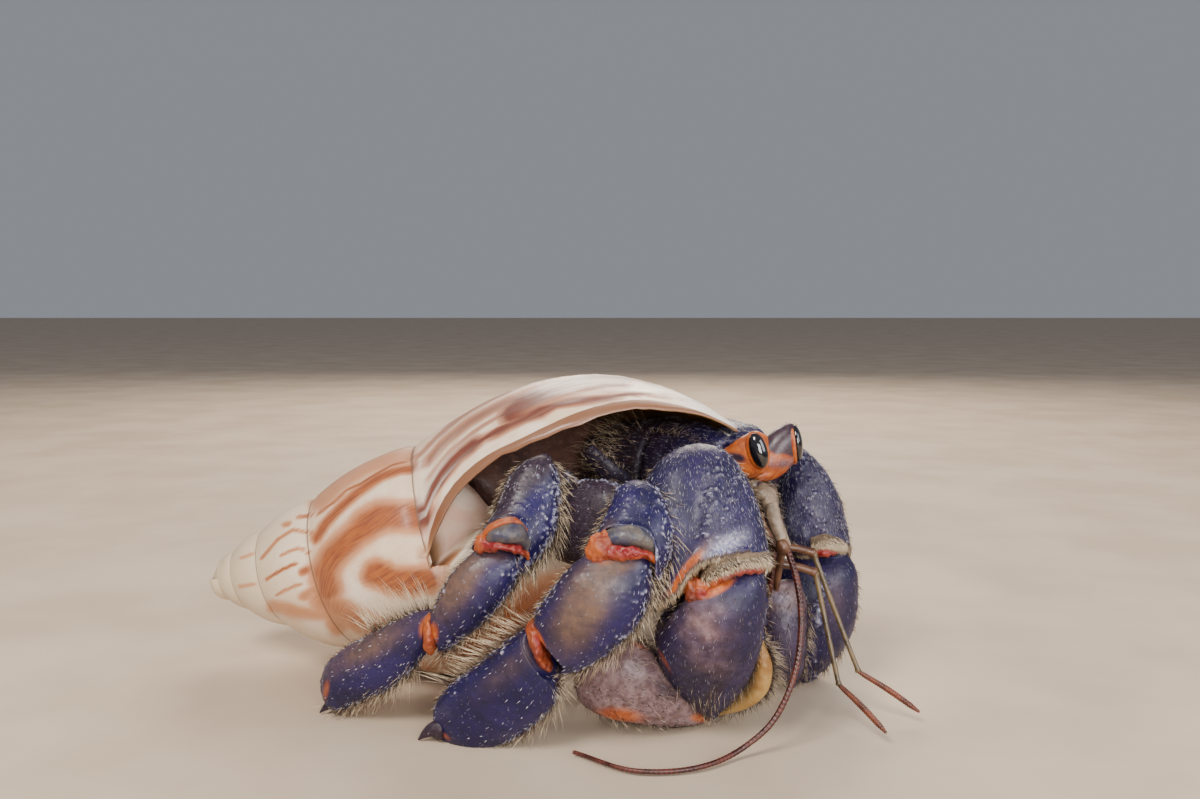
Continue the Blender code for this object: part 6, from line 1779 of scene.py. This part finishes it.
def build_eyes():
    for side in ("right", "left"):
        skin = outlined("eyestalk_" + side, *STALKS[side], 70, 80, 2.0)
        noise = noise3(skin.grid, 0.9, 60)
        if side == "right":
            skin.paint(ORANGE_JOINT, 0.92)
            # the dark spots and the orange dimmed in places are painted shade on the stalk
            skin.paint(DARK, 0.75 * skin.spot(737, 457, 9, 4, 20) + 0.3 * skin.spot(748, 440, 8, 5, 0) * (1 + noise))
            skin.paint(TAN_PATCH, 0.4 * skin.spot(735, 465, 14, 6, 20))
            dim = 0.85 * skin.spot(737, 457, 10, 5, 20) + 0.5 * skin.spot(727, 463, 8, 6, 0)
            dim = dim + 0.6 * skin.spot(744, 477, 12, 2.5, 15) + 0.35 * skin.spot(752, 436, 8, 3, 20)
            skin.mask[..., ORANGE_JOINT] *= 1 - np.clip(dim * (1 + 0.3 * noise), 0, 0.85)
        else:
            place = pixel(skin.grid)
            low = smoothstep((place[..., 1] - 447 - 0.25 * (place[..., 0] - 775)) / 10 + 0.15 * noise)
            skin.paint(ORANGE_JOINT, 0.95 * low)
            skin.paint(DARK, 0.55 * (1 - low))
            skin.paint(PALE_RIM_AND_HIGHLIGHT, 0.35 * bump(place[..., 1], 462, 8) * low)
            skin.mask[..., ORANGE_JOINT] *= 1 - 0.45 * bump(place[..., 1], 464, 7) * (1 + 0.4 * noise)
        finish_skin(skin, STALK, "orange_cuticle", (0.3, 0.3))
        plant(skin, HEAD_COAT, 90, 61, smoothstep((skin.t - 0.2) / 0.3), 0.30, 0.020, 0.5, 0.2, tone=(0.0, 0.6),
              rings=1)
    # corneas: the near one faces the camera, the far one is seen edge-on
    blob("cornea_right_eye", 758.5, 450.5, 18.2, 8.9, -17.25, 0.75, CORNEA, "cornea", 74, nodes=("cornea_right",),
         lean=-0.25)
    blob("cornea_right_rim", 757.6, 450.5, 20.0, 11.6, -16.75, 0.78, STALK, "orange_cuticle", 74,
         masks=((ORANGE_JOINT, 0.95),), lean=-0.25)
    blob("cornea_left_eye", 795.6, 443.5, 19.0, 6.6, -11.9, 1.5, CORNEA, "cornea", 84, nodes=("cornea_left",))
    blob("cornea_left_rim", 791.8, 444.0, 20.5, 7.0, -11.7, 1.65, STALK, "orange_cuticle", 84,
         masks=((ORANGE_JOINT, 0.7),))
    tuft = SKINS["cornea_left_rim"]
    plant(tuft, HEAD_COAT, 16, 62, bump(tuft.t, 0.03, 0.06), 0.9, 0.022, 0.1, 0.25, tone=(0.6, 1.0),
          pull=(0.1, 0, 0.9))
    blob("eye_bridge", 757, 474, 17, 8, -13.6, 1.5, STALK, "orange_cuticle", -8, 63, 0.06,
         masks=((ORANGE_JOINT, 0.95),))


def build_mouthparts():
    orange, purple = "orange_cuticle", "purple_cuticle"
    for name, path, sizes, broad, mat, slot in (
            ("antenna_right_base", ANTENNA_RIGHT, ANTENNA_SIZE, UP, PALE, purple),
            ("antenna_left_base", ANTENNA_LEFT, scaled(ANTENNA_SIZE, 0.8), UP, PALE, purple),
            ("maxilliped_right", MAXILLIPED_RIGHT, MAXILLIPED_SIZE, CRAB_LEFT, ORANGE, orange),
            ("maxilliped_left", MAXILLIPED_LEFT, MAXILLIPED_SIZE, CRAB_LEFT, ORANGE, orange),
            ("leg4_right", LEG4_RIGHT, LEG4_SIZE, (0.3, -0.6, 0.7), PURPLE, purple),
            ("leg4_left", LEG4_LEFT, LEG4_SIZE, (0.3, 0.6, 0.7), PURPLE, purple)):
        skin = path_segment(name, path, sizes, broad)
        skin.push(0.05 * noise3(skin.grid, 0.9, 64) * smoothstep(skin.t / 0.1))
        if "base" in name:
            for ring in (0.32, 0.68):
                skin.push(-0.16 * bump(skin.t, ring, 0.02))
                skin.paint(DARK, 0.8 * bump(skin.t, ring, 0.02))
            skin.paint(DARK, 0.5 * smoothstep((0.4 - skin.t) / 0.3))
        else:
            skin.bumps(90, 0.13, 0.06, 65)
        finish_skin(skin, mat, slot, (0.3, 0.3))
        plant(skin, HEAD_COAT, 260 if "leg4" in name else 120, 66, np.ones_like(skin.t), 0.7, 0.024, 0.5, 0.2,
              tone=(0.2, 1.0))
    # blocks at the feelers' roots, as the head shows them between the claws, and behind them a dark lump of painted
    # shade
    blob("head_block", 764, 494, 12, 9.5, -16.6, 1.5, PALE, purple, 10, 67, 0.10, masks=((DARK, 0.12),))
    blob("head_shade", 772, 530, 30, 14, -11.6, 2.4, PURPLE, purple, 80, 68, 0.12, masks=((DARK, 0.8),))
    peduncle = outlined("head_peduncle", ((0, 765, 508, 778, 504), (0.45, 768, 523, 782, 519), (1, 776, 542, 787, 537)),
                        ((0, -18.6), (1, -20.0)), ((0, 0.7), (0.5, 0.75), (1, 0.6)), 60, 48)
    # darker along both edges as seen from the camera: painted shade on the round tube
    peduncle.paint(DARK, 0.9 * bump(turn_gap(peduncle.a, 0.0), 0.0, 0.5) + 0.8 * bump(peduncle.a, math.pi, 0.4))
    peduncle.push(0.04 * noise3(peduncle.grid, 0.6, 69))
    finish_skin(peduncle, PALE, purple, (0.3, 0.3), ())
    blob("head_knuckle", 783, 547, 9, 6.5, -20.3, 0.7, FEELER_BASE, "feeler", 70, 70, 0.04)
    strand = outlined("head_strand", ((0, 780, 546, 787, 546), (0.5, 776, 566, 783, 567), (1, 773, 588, 779, 590)),
                      ((0, -18.0), (1, -17.0)), ((0, 0.4), (1, 0.35)), 40, 32)
    finish_skin(strand, FEELER_BASE, "feeler", (0.2, 0.2), ())


# Body

BODIES = {}


def body_skin(name, nodes, mat, slot, seed, size=0.32, shading=None):
    """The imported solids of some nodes, joined as one skin, evened out and given a fine surface."""
    points, faces = [], []
    count = 0
    for node in nodes:
        p, f = mesh_arrays(frame["nodes"][node].data)
        points.append(p)
        faces.append(f + count)
        count += len(p)
    obj = new_mesh(name, np.concatenate(points), [np.concatenate(faces)], mat)
    fix_normals(obj)
    remesh = obj.modifiers.new("remesh", "REMESH")
    remesh.mode = "VOXEL"
    remesh.voxel_size = size * MM
    even = obj.modifiers.new("even", "SMOOTH")
    even.factor = 0.6
    even.iterations = 6
    graph = bpy.context.evaluated_depsgraph_get()
    mesh = bpy.data.meshes.new_from_object(obj.evaluated_get(graph))
    drop(obj)
    points, tris = mesh_arrays(mesh)
    normals = np.empty(len(mesh.vertices) * 3, np.float32)
    mesh.vertices.foreach_get("normal", normals)
    normals = normals.reshape(-1, 3).astype(float)
    lift = 0.12 * noise3(points, 2.2, seed) + 0.05 * noise3(points, 0.8, seed + 1)
    mask = np.zeros((len(points), 4))
    if shading is not None:
        lift = lift + shading(points, mask)
    points = points + normals * lift[:, None]
    BODIES[name] = (points, tris)
    obj = new_mesh(name, points, [tris], mat, colours={"mask": mask})
    return settle(obj, slot, *nodes)


def shield_shading(points, mask):
    """Dark shield with a lighter front and a shallow groove on each side."""
    ahead = (points - HEAD) @ CRAB_AHEAD
    across = (points - HEAD) @ CRAB_LEFT
    mask[:, DARK] = 0.55 * smoothstep((-2.0 - ahead) / 6.0) + 0.15
    mask[:, PALE_RIM_AND_HIGHLIGHT] = 0.16 * bump(ahead, -1.0, 2.5)
    groove = bump(np.abs(across), 4.6, 0.35)
    mask[:, TAN_PATCH] = 0.3 * groove
    return -0.22 * groove - 0.15 * bump(ahead, -6.5, 0.4)


def body_shading(points, mask):
    mask[:, DARK] = 0.35 + 0.25 * noise3(points, 2.5, 81)
    mask[:, TAN_PATCH] = 0.25 * smoothstep(noise3(points, 3.5, 82) / 0.6)
    return 0.10 * bump((points @ CRAB_AHEAD) % 2.2, 1.1, 0.25) * smoothstep((points[:, 2] - 12) / 4)


def body_hairs():
    """Flecks and bristles of the carapace and chest, longer beside the groove and at the shell's edge."""
    def outside(points, normals):
        return smoothstep((points[:, 2] - 14.0) / 3.0) * (normals[:, 2] > -0.4)

    for name, many in (("shield_skin", 1500), ("body_skin", 2000)):
        grow(coat_of("body", "fleck"), mesh_roots(name, many, 90, outside, CRAB_AHEAD), 0.30, 0.032, 0.88, 0.08,
             tone=(0.0, 0.8), even=0.5)
        grow(coat_of("body"), mesh_roots(name, many // 2, 91, outside, CRAB_AHEAD), 0.36, 0.018, 0.7, 0.15,
             tone=(0.0, 0.7))

    def groove(points, normals):
        across = np.abs((points - HEAD) @ CRAB_LEFT)
        return bump(across, 4.8, 0.5) * outside(points, normals)

    grow(coat_of("body"), mesh_roots("shield_skin", 420, 92, groove, CRAB_AHEAD), 0.9, 0.024, 0.5, 0.22, 0.2,
         0.0, (0.4, 1.0), 3, 0.5)

    def flank(points, normals):
        place = pixel(points)
        return bump(place[:, 0], 612, 30) * bump(place[:, 1], 455, 34) * outside(points, normals)

    grow(coat_of("body"), mesh_roots("body_skin", 330, 93, flank, -CRAB_AHEAD), 2.0, 0.026, 0.35, 0.25, 0.3,
         0.1, (0.5, 1.0), 3, 0.5)


build_shell(SHELL)
build_right_legs()
build_left_legs()
build_claws()
build_feelers()
build_eyes()
build_mouthparts()
body_skin("shield_skin", ["carapace_shield"], BLUE, "blue_cuticle", 800, shading=shield_shading)
body_skin("body_skin", ["carapace_rear", "chest"], PURPLE, "purple_cuticle", 810, shading=body_shading)
body_skin("abdomen_skin", ["abdomen"], SOFT, "soft_skin", 820, 0.5)
body_hairs()
build_coats()


# Floor, lights and camera

def floor_material():
    g = Graph("pale_floor")
    soft = g.noise(g.place(), 40.0)
    return g.finish(g.mix(g.fit(soft, 0.3, 0.7), (0.45, 0.345, 0.25), (0.53, 0.42, 0.315)), 0.75)


def add_floor():
    reach = 3.0
    mesh = bpy.data.meshes.new("floor")
    mesh.from_pydata([(-reach, -reach, 0), (reach, -reach, 0), (reach, reach, 0), (-reach, reach, 0)], [],
                     [(0, 1, 2, 3)])
    mesh.materials.append(floor_material())
    floor = bpy.data.objects.new("floor", mesh)
    bpy.context.scene.collection.objects.link(floor)


def add_light(name, place, target, size, power, colour):
    data = bpy.data.lights.new(name, "AREA")
    data.shape = "SQUARE"
    data.size = size
    data.energy = power
    data.color = colour
    light = bpy.data.objects.new(name, data)
    light.location = place
    light.rotation_mode = "QUATERNION"
    light.rotation_quaternion = (Vector(target) - Vector(place)).to_track_quat("-Z", "Y")
    bpy.context.scene.collection.objects.link(light)


def add_stage():
    add_floor()
    add_light("key", (-0.16, -0.24, 0.34), (0, 0, 0.012), 0.14, 2.0, (1.0, 0.95, 0.88))
    add_light("front", (0.10, -0.34, 0.12), (0, -0.01, 0.015), 0.16, 1.25, (1.0, 0.98, 0.95))
    add_light("fill", (0.30, -0.16, 0.18), (0, 0, 0.012), 0.20, 0.8, (0.92, 0.95, 1.0))
    add_light("rim", (0.02, 0.34, 0.26), (0, 0, 0.015), 0.25, 1.9, (1.0, 0.88, 0.74))
    world_data = bpy.data.worlds.new("soft_sky")
    world_data.use_nodes = True
    sky = world_data.node_tree.nodes["Background"]
    sky.inputs["Color"].default_value = (0.86, 0.90, 1.0, 1)
    sky.inputs["Strength"].default_value = 0.30
    bpy.context.scene.world = world_data


def add_camera():
    data = bpy.data.cameras.new("camera")
    data.lens = LENS
    data.sensor_width = SENSOR
    data.clip_start = 0.005
    data.clip_end = 20
    camera = bpy.data.objects.new("camera", data)
    camera.location = world(EYE_POINT)
    camera.rotation_euler = (math.radians(90 - CAMERA_TILT), 0, 0)
    bpy.context.scene.collection.objects.link(camera)
    bpy.context.scene.camera = camera


add_stage()
add_camera()
